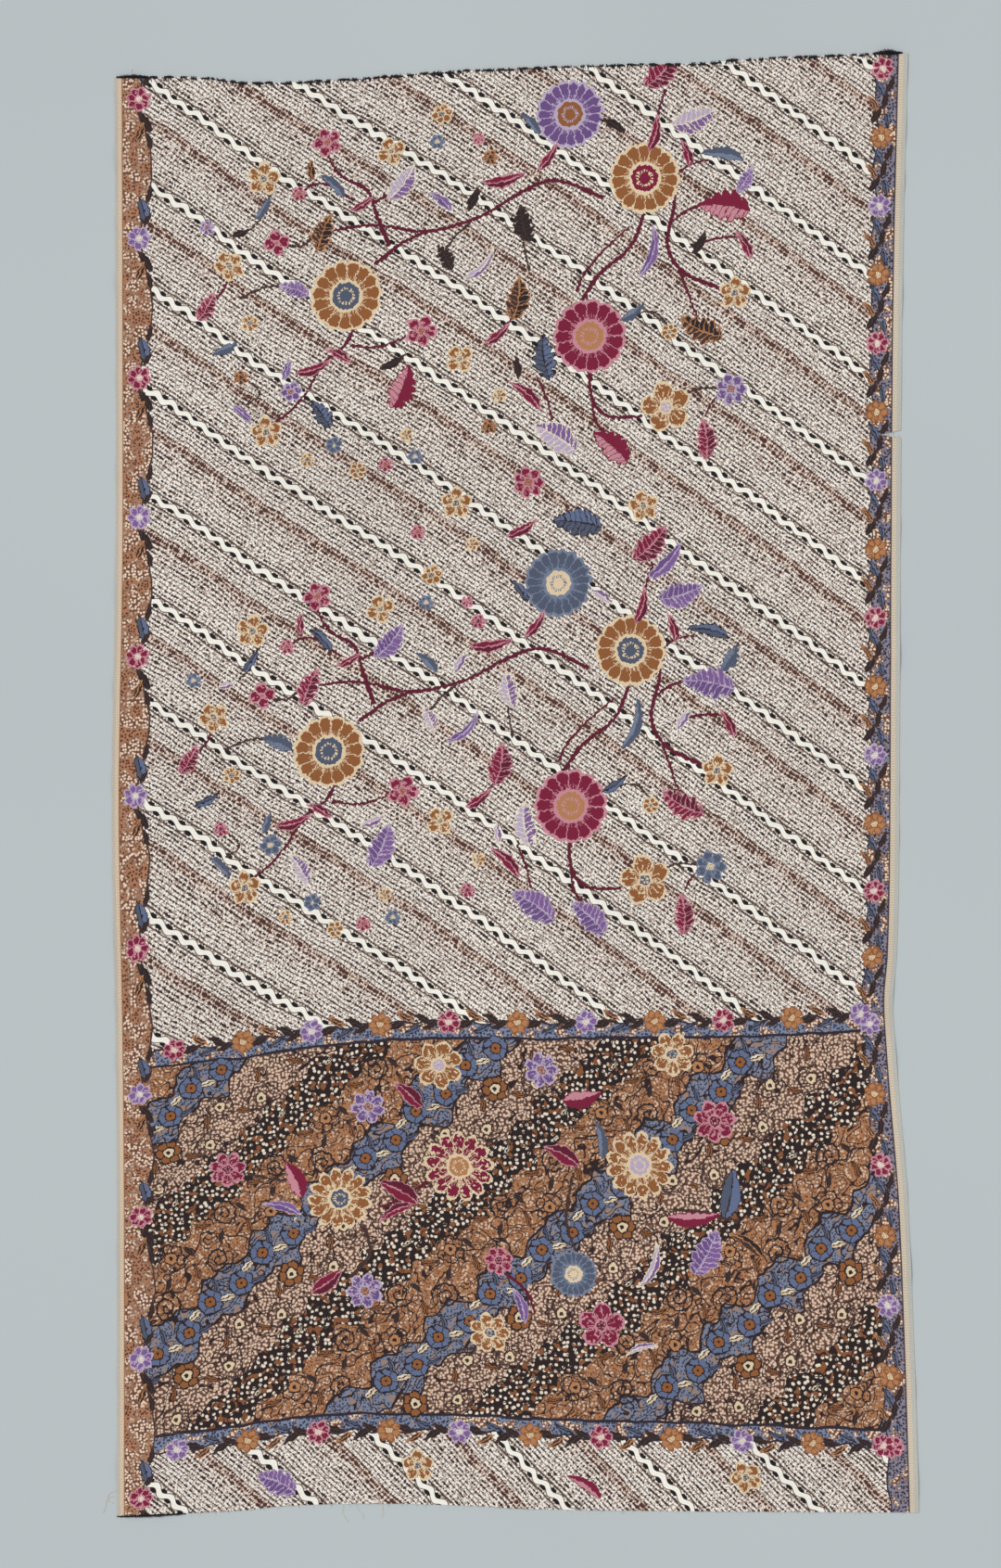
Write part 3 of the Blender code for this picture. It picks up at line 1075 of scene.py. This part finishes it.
def on_plan(across, along):
    """Where a place on the cloth lies on the surface, in mm from the nominal middle."""
    left = -WIDTH / 2 - edge_out(LEFT_EDGE, along)
    right = WIDTH / 2 + edge_out(RIGHT_EDGE, along)
    lower = -LENGTH / 2 - edge_out(LOWER_EDGE, across)
    upper = LENGTH / 2 + edge_out(UPPER_EDGE, across)
    x = left + (right - left) * across / WIDTH
    y = lower + (upper - lower) * along / LENGTH
    return x, y


def plan_shift():
    """From the nominal middle to the frame's origin, read from the cloth's own box."""
    low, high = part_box("cloth")
    corners = [Vector(on_plan(across, along)) for across in (0, WIDTH) for along in (0, LENGTH)]
    lowest_y = min(corner.y for corner in corners)
    highest_y = max(corner.y for corner in corners)
    rightmost = max(corner.x for corner in corners)
    return Vector((high.x / MM - rightmost, (low.y + high.y) / 2 / MM - (lowest_y + highest_y) / 2))


PLAN_SHIFT = plan_shift()


def laid(across, along):
    """The place in the frame, in mm, of a place on the cloth."""
    x, y = on_plan(across, along)
    return x + PLAN_SHIFT.x, y + PLAN_SHIFT.y


def bell(distance):
    """1 at the middle of a fold, falling smoothly to 0 at its side or end."""
    inside = max(0.0, 1.0 - distance * distance)
    return inside * inside


def rise(across, along):
    """How high the cloth stands off the surface, in mm."""
    lift = 0.0
    for fold in FOLDS:
        dx = across - fold.across
        dy = along - fold.along
        turn = radians(fold.heading)
        lengthwise = bell(2 * (dx * cos(turn) + dy * sin(turn)) / fold.length)
        if lengthwise > 0.0:
            lift += fold.height * lengthwise * bell((dy * cos(turn) - dx * sin(turn)) / fold.width)
    rumple = noise.noise(Vector((across / 95.0, along / 120.0, 3.0)))
    cockle = noise.noise(Vector((across / 300.0, along / 42.0, 9.0)))
    near_side = max(0.0, 1.0 - min(across, WIDTH - across) / COCKLE_REACH)
    return (
        lift * FOLD_LIFT
        + max(0.0, rumple) * RUMPLE_LIFT
        + max(0.0, cockle) * near_side * COCKLE_LIFT
    )


def design(across, along):
    """Where a place lies in the batik's own straight layout, in mm."""
    near_top = max(0.0, 1.0 - abs(along - PANEL_HIGH) / 260.0)
    near_low = max(0.0, 1.0 - abs(along - PANEL_LOW) / 200.0)
    bow = edge_out(PANEL_TOP_BOW, across) * near_top + edge_out(PANEL_LOW_BOW, across) * near_low
    return across, along - bow


def tear(bm):
    """Opens the slit: two cuts from its tip to its mouth, and the sliver between them removed."""
    tip = Vector((WIDTH - TEAR_DEPTH, TEAR_ALONG, 0))
    for side in (-1, 1):
        mouth = Vector((WIDTH, TEAR_ALONG + side * TEAR_MOUTH, 0))
        normal = (mouth - tip).cross(Vector((0, 0, 1))).normalized()
        near = [
            face
            for face in bm.faces
            if face.calc_center_median().x > tip.x - 4
            and abs(face.calc_center_median().y - tip.y) < 4 * TEAR_MOUTH
        ]
        geom = set(near)
        for face in near:
            geom.update(face.edges)
            geom.update(face.verts)
        bmesh.ops.bisect_plane(bm, geom=list(geom), plane_co=tip, plane_no=normal)
    sliver = []
    for face in bm.faces:
        centre = face.calc_center_median()
        share = (centre.x - tip.x) / TEAR_DEPTH
        if share > 0 and abs(centre.y - tip.y) < share * TEAR_MOUTH:
            sliver.append(face)
    bmesh.ops.delete(bm, geom=sliver, context="FACES")


def cloth_mesh(sizes):
    """The cloth as a thin closed shell, and each vertex's place on the flat cloth."""
    bm = bmesh.new()
    bmesh.ops.create_grid(
        bm,
        x_segments=round(WIDTH * MM / sizes.cell),
        y_segments=round(LENGTH * MM / sizes.cell),
        size=0.5,
    )
    flat = bm.verts.layers.float_vector.new("flat")
    for vert in bm.verts:
        vert.co = Vector(((vert.co.x + 0.5) * WIDTH, (vert.co.y + 0.5) * LENGTH, 0.0))
    tear(bm)
    for vert in bm.verts:
        across, along = vert.co.x, vert.co.y
        vert[flat] = (across, along, 0.0)
        x, y = laid(across, along)
        lift = rise(across, along)
        vert.co = Vector((x * MM, y * MM, lift * MM + sizes.thickness))
    wall = bmesh.ops.extrude_face_region(bm, geom=bm.faces[:])
    for part in wall["geom"]:
        if isinstance(part, bmesh.types.BMVert):
            part.co.z -= sizes.thickness
    bmesh.ops.recalc_face_normals(bm, faces=bm.faces[:])
    mesh = bpy.data.meshes.new("batik_cloth")
    bm.to_mesh(mesh)
    bm.free()
    places = np.zeros(len(mesh.vertices) * 3, np.float32)
    mesh.attributes["flat"].data.foreach_get("vector", places)
    mesh.attributes.remove(mesh.attributes["flat"])
    mesh.shade_smooth()
    mesh.set_sharp_from_angle(angle=radians(50))
    return mesh, places.reshape(-1, 3)[:, :2]


class Chart:
    """Where the figures lie on the cloth: for each face corner, its place in each figure."""

    def __init__(self, mesh, flat):
        corners = len(mesh.loops)
        vertex_of = np.zeros(corners, np.int32)
        mesh.loops.foreach_get("vertex_index", vertex_of)
        totals = np.zeros(len(mesh.polygons), np.int32)
        mesh.polygons.foreach_get("loop_total", totals)
        self.mesh = mesh
        self.at = flat[vertex_of]
        self.face_of = np.repeat(np.arange(len(totals)), totals)
        self.totals = totals
        self.starts = np.cumsum(totals) - totals
        self.order = np.argsort(self.at[:, 1], kind="stable")
        self.sorted_along = self.at[self.order, 1]
        self.used = np.zeros(len(totals), np.int32)
        self.data = {
            name: np.zeros((DEPTH, corners, 3), np.float32) for name in ("place", "look", "dyes")
        }
        self.data["place"][:, :, 2] = 1.0

    def within(self, low, high):
        """The face corners inside a box on the flat cloth."""
        first, last = np.searchsorted(self.sorted_along, (low[1], high[1]))
        some = self.order[first:last]
        return some[(self.at[some, 0] > low[0]) & (self.at[some, 0] < high[0])]

    def corners_of(self, faces):
        totals = self.totals[faces]
        ahead = np.arange(totals.sum()) - np.repeat(np.cumsum(totals) - totals, totals)
        return np.repeat(self.starts[faces], totals) + ahead

    def lay(self, near, place_x, place_y, size, shape, palette):
        """Lays a figure on the faces that have a corner in near, over what lies there."""
        faces = np.unique(self.face_of[near])
        full = faces[self.used[faces] == DEPTH]
        if len(full):
            shifted = self.corners_of(full)
            for values in self.data.values():
                values[:-1, shifted] = values[1:, shifted]
            self.used[full] = DEPTH - 1
        corners = self.corners_of(faces)
        layer = self.used[self.face_of[corners]]
        x, y = place_x(self.at[corners]), place_y(self.at[corners])
        self.data["place"][layer, corners] = np.stack([x, y, np.full(len(x), size)], 1)
        self.data["look"][layer, corners] = (shape.kind, shape.first, shape.second)
        ranks = [DYE_NAMES.index(name) for name in PALETTES[palette]]
        self.data["dyes"][layer, corners] = ranks
        self.used[faces] += 1

    def figure(self, shape_name, across, along, size, turn, palette):
        """A bloom, leaf or curl of this size about its middle."""
        shape = SHAPES[shape_name]
        centre = np.array((across, along))
        angle = radians(turn)
        c, s = cos(angle), sin(angle)
        near = self.within(centre - size - 3.0, centre + size + 3.0)

        def lengthwise(at):
            return (at[:, 0] - across) * c + (at[:, 1] - along) * s

        def sideways(at):
            plain = (at[:, 1] - along) * c - (at[:, 0] - across) * s
            return plain - shape.bend * (lengthwise(at) ** 2 / size - size * 0.5)

        self.lay(near, lengthwise, sideways, size, shape, palette)

    def stem(self, points, start, end, palette):
        """A stalk along a smooth curve through the points."""
        line = smooth_line(points, 9.0)
        steps = np.linalg.norm(np.diff(line, axis=0), axis=1)
        travelled = np.concatenate([[0.0], np.cumsum(steps)])
        reach = max(start, end) + 3.0
        low = line.min(0) - reach
        high = line.max(0) + reach
        boxed = self.within(low, high)
        run, off = nearest(line, travelled, self.at[boxed])
        near = boxed[(np.abs(off) < reach) & (run > -reach) & (run < travelled[-1] + reach)]

        def lengthwise(at):
            return nearest(line, travelled, at)[0]

        def sideways(at):
            return nearest(line, travelled, at)[1]

        shape = Shape(STEM, start, end, 0.0)
        self.lay(near, lengthwise, sideways, travelled[-1], shape, palette)

    def store(self):
        for name, layers in self.data.items():
            for layer in range(DEPTH):
                made = self.mesh.attributes.new(f"{name}_{layer}", "FLOAT_VECTOR", "CORNER")
                made.data.foreach_set("vector", layers[layer].ravel())


def smooth_line(points, step):
    """Points about a step apart on a smooth curve through the given ones."""
    points = [Vector(point) for point in points]
    line = []
    for index in range(len(points) - 1):
        here, there = points[index], points[index + 1]
        before = points[max(index - 1, 0)]
        after = points[min(index + 2, len(points) - 1)]
        count = max(2, round((there - here).length / step))
        for part in range(count):
            t = part / count
            pull = (there - before) * 0.5 * t * (1 - t) ** 2 - (after - here) * 0.5 * t * t * (1 - t)
            line.append(here.lerp(there, t * t * (3 - 2 * t)) + pull)
    line.append(points[-1])
    return np.array([tuple(point) for point in line])


def nearest(line, travelled, at):
    """How far along the line each place is, and how far to its side."""
    best = np.full(len(at), 1e9)
    run = np.zeros(len(at))
    off = np.zeros(len(at))
    last = len(line) - 2
    for index in range(last + 1):
        start = line[index]
        heading = line[index + 1] - start
        length = np.linalg.norm(heading)
        heading = heading / length
        there = at - start
        t = there @ heading
        low = -1e9 if index == 0 else 0.0
        high = 1e9 if index == last else length
        held = np.clip(t, low, high)
        side = there[:, 1] * heading[0] - there[:, 0] * heading[1]
        gap = np.hypot(side, t - held)
        closer = gap < best
        best = np.where(closer, gap, best)
        run = np.where(closer, travelled[index] + held, run)
        off = np.where(closer, side, off)
    return run, off


# Leaves beside a border flower, from its middle in mm
LEFT_LEAVES = table(
    Figure,
    ("leaf", 6, 38, 19, 104, "slate_leaf"),
    ("sliver", 12, 26, 11, 60, "soot_leaf"),
    ("sliver", 14, 60, 12, 80, "soot_leaf"),
    ("sliver", 8, -30, 17, 122, "soot_leaf"),
    ("sliver", 2, -44, 14, 66, "umber_leaf"),
    ("sliver", 14, -56, 12, 104, "soot_leaf"),
)
RIGHT_LEAVES = table(
    Figure,
    ("sliver", 7, 25, 13, 100, "slate_leaf"),
    ("sliver", -7, 30, 14, 56, "soot_leaf"),
    ("sliver", -12, 46, 12, 128, "umber_leaf"),
    ("sliver", 4, 50, 13, 78, "soot_leaf"),
    ("sliver", -4, 66, 14, 118, "slate_leaf"),
    ("sliver", 11, 70, 12, 66, "soot_leaf"),
)
STRIP_LEAVES = table(
    Figure,
    ("sliver", 24, -2, 14, 16, "soot_leaf"),
    ("sliver", 36, 8, 13, -30, "umber_leaf"),
    ("sliver", 47, -8, 13, 24, "slate_leaf"),
    ("sliver", 58, 5, 14, 150, "soot_leaf"),
    ("sliver", 71, -3, 13, 26, "soot_leaf"),
)


def lay_leaves(chart, across, along, leaves, side=1):
    """The leaves beside one flower; side -1 turns them upside down."""
    for leaf in leaves:
        y = along + side * leaf.y
        chart.figure(leaf.shape, across + leaf.x, y, leaf.size, side * leaf.turn, leaf.palette)


def lay_borders(chart):
    """Flowers and leaves down both side borders and along the head panel's strips."""
    kinds = ("small_maroon", "small_violet")
    across = 32
    for index in range(11):
        along = 30 + LEFT_STEP * index
        lay_leaves(chart, across, along, LEFT_LEAVES)
        chart.figure("star", across, along, 17, 12 * index, kinds[index % 2])
    kinds = ("small_maroon", "small_ochre", "small_violet", "small_ochre")
    across = WIDTH - 33
    for index in range(21):
        along = 93 + RIGHT_STEP * index
        lay_leaves(chart, across, along, RIGHT_LEAVES)
        chart.figure("star", across, along, 16, 10 * index, kinds[index % 4])
    for level, side in ((PANEL_HIGH + STRIP_DEPTH, 1), (PANEL_LOW - STRIP_DEPTH, -1)):
        for index in range(11):
            across = 80 + STRIP_STEP * index
            if index < 10:
                lay_leaves(chart, across, level, STRIP_LEAVES, side)
            palette = kinds[(index + (1 - side)) % 4]
            chart.figure("star", across, level, 16.5, 9 * index, palette)


def lay_panel(chart, sizes):
    """Ringed circles, leaves, curls and the large figures of the head panel."""
    spacing = sizes.band_spacing / MM
    draw = random.Random(5)
    low, high = PANEL_LOW + 14, PANEL_HIGH - 12

    def lay(shape, level, run, size, turn, palette):
        """A figure this far over and along the bands; a pair of turns is drawn between."""
        across = level * sin(BAND_SLOPE) + run * cos(BAND_SLOPE)
        along = run * sin(BAND_SLOPE) - level * cos(BAND_SLOPE)
        if 46 < across < WIDTH - 60 and low < along < high:
            if isinstance(turn, tuple):
                turn = draw.uniform(*turn)
            chart.figure(shape, across, along, size, turn, palette)

    for band in range(-2, 5):
        dark = spacing * band - 6
        brown, blue, light = dark + 60, dark + 128, dark + 188
        for index in range(-2, 26):
            run = BAND_STEP * index
            side = 1 if index % 2 else -1
            curl = ("curl", "curl") if index % 3 else ("ring", "dark_outline")
            lay("eyelet", blue + side * 5, run, 18, (0, 90), "blue_ring")
            lay("sliver", blue - side * 7, run + 23, 14, 30 + side * 14, "cream_leaf")
            lay("sliver", blue + side * 17, run + 20, 12, 70 - side * 40, "slate_leaf")
            lay(curl[0], brown + 6 + side * 22, run, 20, (0, 360), curl[1])
            lay("sliver", brown - side * 20, run + 14, 12, 60 - side * 50, "ochre_leaf")
            lay("sliver", brown + side * 6, run + 24, 11, 20 + side * 60, "soot_leaf")
            tone = "umber_outline" if index % 4 else "ochre_ring"
            lay("ring", light + side * 16, run + 8, 19, (0, 90), tone)
            lay("sliver", light - side * 12, run + 28, 12, 40 + side * 50, "ochre_leaf")
            wander = draw.uniform(-14, 14)
            if index % 2:
                lay("sliver", dark + wander, run + 11, 10, (20, 60), "cream_leaf")
    for row in PANEL_STEMS:
        chart.stem(*row)
    for row in PANEL_FIGURES:
        chart.figure(*row)


def lay_sprays(chart):
    """The two bouquets of the body and its loose figures."""
    for spray in SPRAYS:
        turn = Matrix.Rotation(radians(spray.turn), 2)
        middle = Vector((spray.across, spray.along))
        for row in BOUQUET_STEMS:
            points = [turn @ Vector(point) + middle for point in row.points]
            chart.stem(points, row.start, row.end, row.palette)
        for row in BOUQUET:
            at = turn @ Vector((row.x, row.y)) + middle
            palette = spray.palettes.get(row.palette, row.palette)
            chart.figure(row.shape, at.x, at.y, row.size, row.turn + spray.turn, palette)
    for row in LOOSE_FIGURES:
        chart.figure(*row)


def unwrap(mesh, flat):
    """The cloth's own chart in mm, and a square one of it for baked pictures."""
    vertex_of = np.zeros(len(mesh.loops), np.int32)
    mesh.loops.foreach_get("vertex_index", vertex_of)
    at = flat[vertex_of]
    cloth = mesh.uv_layers.new(name="cloth")
    straight = np.array([design(*place) for place in flat], np.float32)
    cloth.uv.foreach_set("vector", straight[vertex_of].ravel())
    baked = mesh.uv_layers.new(name="OFBake")
    margin = 0.004
    square = margin + (1 - 2 * margin) * at / np.array((WIDTH, LENGTH))
    baked.uv.foreach_set("vector", square.astype(np.float32).ravel())
    return straight


def link(mesh_or_bm, name, material):
    """Makes a bmesh or a mesh an object with its material in the scene."""
    mesh = mesh_or_bm
    if isinstance(mesh_or_bm, bmesh.types.BMesh):
        bmesh.ops.recalc_face_normals(mesh_or_bm, faces=mesh_or_bm.faces[:])
        mesh = bpy.data.meshes.new(name)
        mesh_or_bm.to_mesh(mesh)
        mesh_or_bm.free()
        mesh.shade_smooth()
    mesh.materials.append(material)
    made = bpy.data.objects.new(name, mesh)
    bpy.context.scene.collection.objects.link(made)
    return made


# ---------------------------------------------------------------------------
# Threads
# ---------------------------------------------------------------------------


def strand(bm, points, radii, sides=6):
    """A thread swept along the points, closed at both ends."""
    turn = Quaternion()
    heading = Vector((0, 0, 1))
    ring = None
    previous = None
    for index, point in enumerate(points):
        before = points[max(index - 1, 0)]
        after = points[min(index + 1, len(points) - 1)]
        new_heading = (after - before).normalized()
        turn = heading.rotation_difference(new_heading) @ turn
        heading = new_heading
        here = Matrix.LocRotScale(point, turn, Vector((1, 1, 1)) * radii[index])
        if ring is None:
            made = bmesh.ops.create_circle(bm, cap_ends=True, segments=sides, radius=1.0, matrix=here)
            ring = list({edge for vert in made["verts"] for edge in vert.link_edges})
        else:
            made = bmesh.ops.extrude_edge_only(bm, edges=ring)
            verts = [part for part in made["geom"] if isinstance(part, bmesh.types.BMVert)]
            bmesh.ops.transform(bm, matrix=here @ previous.inverted(), verts=verts)
            old = set(ring)
            ring = [
                part
                for part in made["geom"]
                if isinstance(part, bmesh.types.BMEdge)
                and part not in old
                and all(vert in verts for vert in part.verts)
            ]
        previous = here
    bmesh.ops.holes_fill(bm, edges=ring, sides=sides)


def upper_rim(across, out, up):
    """A place beside the upper end, in metres: out from the cloth and up from the floor."""
    x, y = laid(across, LENGTH)
    return Vector((x * MM, y * MM + out * MM, up * MM))


def lower_rim(across, out, up):
    """The same beside the lower end."""
    x, y = laid(across, 0.0)
    return Vector((x * MM, y * MM - out * MM, up * MM))


def seam_stitches(sizes):
    """Overcast stitches left along the upper end, in runs of unequal length."""
    draw = random.Random(11)
    bm = bmesh.new()
    across, end_at = 47.0, 1014.0
    radius = sizes.thread / 2
    while across < end_at:
        run = draw.uniform(5.0, 17.0)
        thick = draw.uniform(1.5, 2.9)
        out = draw.uniform(-1.4, 0.6)
        count = max(3, round(run / 2.2))
        points = []
        radii = []
        for index in range(count + 1):
            at = min(across + run * index / count, end_at + 3.0)
            swell = sin(pi * index / count)
            wander = draw.uniform(-0.5, 0.5)
            half = (0.35 + (thick - 0.35) * (0.35 + 0.65 * swell)) * 0.75
            points.append(upper_rim(at, out + wander, max(1.0 + 0.5 * swell, half + 0.05)))
            radii.append(half * MM)
        strand(bm, points, radii)
        for _ in range(round(run / 3)):
            at = across + draw.uniform(0, run)
            lean = draw.uniform(-2.4, 2.4)
            bite = draw.uniform(2.0, 6.5)
            loop = [
                upper_rim(at + lean, -bite, 0.9 + rise(at, LENGTH)),
                upper_rim(at + lean * 0.5, -bite * 0.4, 2.0),
                upper_rim(at, 1.2, 1.4),
                upper_rim(at - lean * 0.3, 1.8, 0.4),
            ]
            strand(bm, loop, [radius * 0.7, radius, radius, radius * 0.7], sides=5)
        across += run + draw.choice((1.2, 2.5, 4.0, 6.5, 9.5))
    return bm


def corner_roll(rim, start, stop, body, hump, turns, seed):
    """Seam thread sewn over and over: a core with strands wound round it.

    body is its half thickness and hump is how sharply it swells to its middle.
    """
    draw = random.Random(seed)
    bm = bmesh.new()
    count = 16

    def radius_at(share):
        return body * (0.35 + 0.65 * sin(pi * share) ** hump)

    core = []
    core_radii = []
    for index in range(count + 1):
        share = index / count
        swell = radius_at(share)
        core.append(rim(start + (stop - start) * share, swell * 0.6, max(swell, 0.6)))
        core_radii.append(swell * 0.8 * MM)
    strand(bm, core, core_radii, sides=8)
    for turn in range(turns):
        at = start + (stop - start) * (turn + 0.5) / turns + draw.uniform(-0.5, 0.5)
        swell = radius_at((at - start) / (stop - start)) * draw.uniform(0.9, 1.25)
        lean = draw.uniform(0.8, 3.4)
        loop = []
        for index in range(7):
            angle = -0.4 + (pi + 0.8) * index / 6
            out = swell * 0.6 + swell * cos(angle)
            up = max(swell, 0.6) + swell * sin(angle)
            loop.append(rim(at + lean * (index / 6 - 0.5), out, max(0.55, up)))
        strand(bm, loop, [0.5 * MM] * 7, sides=5)
    return bm


# Half the thickness of a frayed yarn, of its broken end and of a loose end, in mm
YARN = 0.16
YARN_TIP = 0.1
LOOSE_YARN = 0.3

# Loose ends of yarn lying on the floor: points in mm across and along the cloth
LOOSE_YARNS = (
    ((300, 4), (301, -6), (299, -11), (303, -18), (307, -25)),
    ((317, 3), (320, -8), (326, -14), (328, -21)),
    ((353, 3), (353, -7), (354, -13), (351, -19)),
    ((4, 22), (-6, 26), (-13, 22), (-15, 12), (-18, 4)),
    ((3, 34), (-7, 32), (-12, 27), (-10, 20), (-4, 17)),
    ((22, 1931), (24, 1938), (22, 1942), (25, 1946)),
)


def fray(seed):
    """Broken yarn ends along the two raw ends and in the tear, and the loose ends."""
    draw = random.Random(seed)
    bm = bmesh.new()
    for rim, count in ((upper_rim, 90), (lower_rim, 150)):
        for _ in range(count):
            at = draw.uniform(12, WIDTH - 12)
            reach = draw.choice((1.5, 2.0, 2.5, 3.5, 5.0))
            lean = draw.uniform(-2.5, 2.5)
            up = 0.5 + rise(at, 0.0 if rim is lower_rim else LENGTH)
            points = [
                rim(at, -1.0, up),
                rim(at + lean * 0.4, reach * 0.5, up * 0.7),
                rim(at + lean, reach, 0.3),
            ]
            strand(bm, points, [YARN * MM, YARN * MM, YARN_TIP * MM], sides=4)
    for _ in range(22):
        share = draw.uniform(0.1, 1.0)
        across = WIDTH - TEAR_DEPTH + share * TEAR_DEPTH
        side = draw.choice((-1, 1))
        x, y = laid(across, TEAR_ALONG + side * share * TEAR_MOUTH)
        reach = draw.uniform(1.5, 4.5)
        points = [
            Vector((x, y, 1.0)) * MM,
            Vector((x + draw.uniform(-1, 1), y - side * reach * 0.5, 0.9)) * MM,
            Vector((x + draw.uniform(-2, 2), y - side * reach, 0.4)) * MM,
        ]
        strand(bm, points, [YARN * MM, YARN * MM, YARN_TIP * MM], sides=4)
    for row in LOOSE_YARNS:
        points = []
        for across, along in smooth_line(row, 2.5):
            x, y = laid(across, along)
            points.append(Vector((x, y, 0.35)) * MM)
        strand(bm, points, [LOOSE_YARN * MM] * len(points), sides=5)
    return bm


# ---------------------------------------------------------------------------
# Operators
# ---------------------------------------------------------------------------


class SARONG_OT_cloth(bpy.types.Operator):
    """Make the batik cloth: a thin shell with its folds, tear, figures and dyes"""

    bl_idname = "sarong.cloth"
    bl_label = "Batik Cloth"

    def execute(self, context):
        scene = context.scene
        mesh, flat = cloth_mesh(scene.sarong_sizes)
        straight = unwrap(mesh, flat)
        chart = Chart(mesh, straight)
        lay_panel(chart, scene.sarong_sizes)
        lay_sprays(chart)
        lay_borders(chart)
        chart.store()
        cloth = link(mesh, "batik_cloth", batik_material(scene.sarong_sizes, scene.sarong_dyes))
        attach(cloth, "root")
        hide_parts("cloth")
        return {"FINISHED"}


class SARONG_OT_seam_thread(bpy.types.Operator):
    """Make the black seam thread left along the upper end and at three corners"""

    bl_idname = "sarong.seam_thread"
    bl_label = "Seam Thread"

    def execute(self, context):
        sizes = context.scene.sarong_sizes
        colour = tuple(context.scene.sarong_dyes.seam_thread)
        finish = thread_material("black_thread", colour, 1.6)
        upper_left = corner_roll(upper_rim, 2, 46, 2.1, 0.8, 24, 2)
        upper_right = corner_roll(upper_rim, 1018, 1058, 3.1, 1.9, 26, 3)
        lower_left = corner_roll(lower_rim, 0, 92, 1.5, 0.6, 44, 4)
        pieces = (
            ("upper_end_stitches", "edge_thread_upper", seam_stitches(sizes)),
            ("stitched_roll_upper_left", "corner_thread_upper_left", upper_left),
            ("stitched_knot_upper_right", "corner_thread_upper_right", upper_right),
            ("stitched_roll_lower_left", "corner_thread_lower_left", lower_left),
        )
        for name, node, bm in pieces:
            piece = link(bm, name, finish)
            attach(piece, "root")
            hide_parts(node)
        return {"FINISHED"}


class SARONG_OT_frayed_yarn(bpy.types.Operator):
    """Make the frayed yarn ends along the raw ends and in the tear"""

    bl_idname = "sarong.frayed_yarn"
    bl_label = "Frayed Yarn"

    def execute(self, context):
        colour = tuple(context.scene.sarong_dyes.selvedge)
        piece = link(fray(17), "frayed_yarn", thread_material("cotton_yarn", colour, 0.8))
        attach(piece, "root")
        return {"FINISHED"}


class SARONG_OT_stage(bpy.types.Operator):
    """Make the plain floor, the soft light and the camera straight above"""

    bl_idname = "sarong.stage"
    bl_label = "Stage"

    def execute(self, context):
        scene = context.scene
        bm = bmesh.new()
        half_floor = 6.0
        bmesh.ops.create_grid(bm, x_segments=1, y_segments=1, size=half_floor)
        made, tree, shader = plain_material("studio_paper", tuple(scene.sarong_dyes.paper), 0.9)
        chart = tree.nodes.new("ShaderNodeTexCoord")
        x, y, _ = parts(Field(tree, chart.outputs["Object"]))
        broad, _ = cloud(pair(x * 1.3, y * 1.3), 1.0)
        painted = broad.paint(tint(194, 201, 203), tint(201, 208, 210))
        put(tree, shader.inputs["Base Color"], painted)
        floor = link(bm, "floor", made)

        world = bpy.data.worlds.new("soft_surround")
        world.use_nodes = True
        surround = world.node_tree.nodes["Background"]
        surround.inputs["Color"].default_value = (0.97, 0.99, 1.0, 1.0)
        surround.inputs["Strength"].default_value = 0.55
        scene.world = world
        key = bpy.data.lights.new("soft_key", "SUN")
        key.energy = 1.35
        key.angle = radians(24)
        lamp = bpy.data.objects.new("soft_key", key)
        lamp.rotation_euler = Vector((0.55, -0.5, -0.9)).to_track_quat("-Z", "Y").to_euler()
        scene.collection.objects.link(lamp)

        lens = bpy.data.cameras.new("camera")
        distance = 5.0
        seen_height = 2.1087
        lens.sensor_width = 36.0
        lens.lens = lens.sensor_width * distance / seen_height
        lens.clip_end = 40.0
        camera = bpy.data.objects.new("camera", lens)
        camera.location = (-0.020, 0.0, distance)
        scene.collection.objects.link(camera)
        scene.camera = camera
        scene.view_settings.view_transform = "Standard"
        return {"FINISHED"}


class SARONG_PT_panel(bpy.types.Panel):
    """Sizes, dyes and the steps of the sarong"""

    bl_label = "Batik Sarong"
    bl_idname = "SARONG_PT_panel"
    bl_space_type = "VIEW_3D"
    bl_region_type = "UI"
    bl_category = "Sarong"

    def draw(self, context):
        layout = self.layout
        for group in (context.scene.sarong_sizes, context.scene.sarong_dyes):
            box = layout.box()
            for name in group.__annotations__:
                box.prop(group, name)
        for step in STEPS:
            layout.operator(step.bl_idname)


STEPS = (SARONG_OT_stage, SARONG_OT_cloth, SARONG_OT_seam_thread, SARONG_OT_frayed_yarn)
CLASSES = (SarongSizes, SarongDyes, *STEPS, SARONG_PT_panel)


def register():
    for made in CLASSES:
        bpy.utils.register_class(made)
    bpy.types.Scene.sarong_sizes = bpy.props.PointerProperty(type=SarongSizes)
    bpy.types.Scene.sarong_dyes = bpy.props.PointerProperty(type=SarongDyes)


def unregister():
    del bpy.types.Scene.sarong_dyes
    del bpy.types.Scene.sarong_sizes
    for made in reversed(CLASSES):
        bpy.utils.unregister_class(made)


def main():
    register()
    bpy.ops.sarong.stage()
    bpy.ops.sarong.cloth()
    bpy.ops.sarong.seam_thread()
    bpy.ops.sarong.frayed_yarn()


if __name__ == "__main__":
    main()
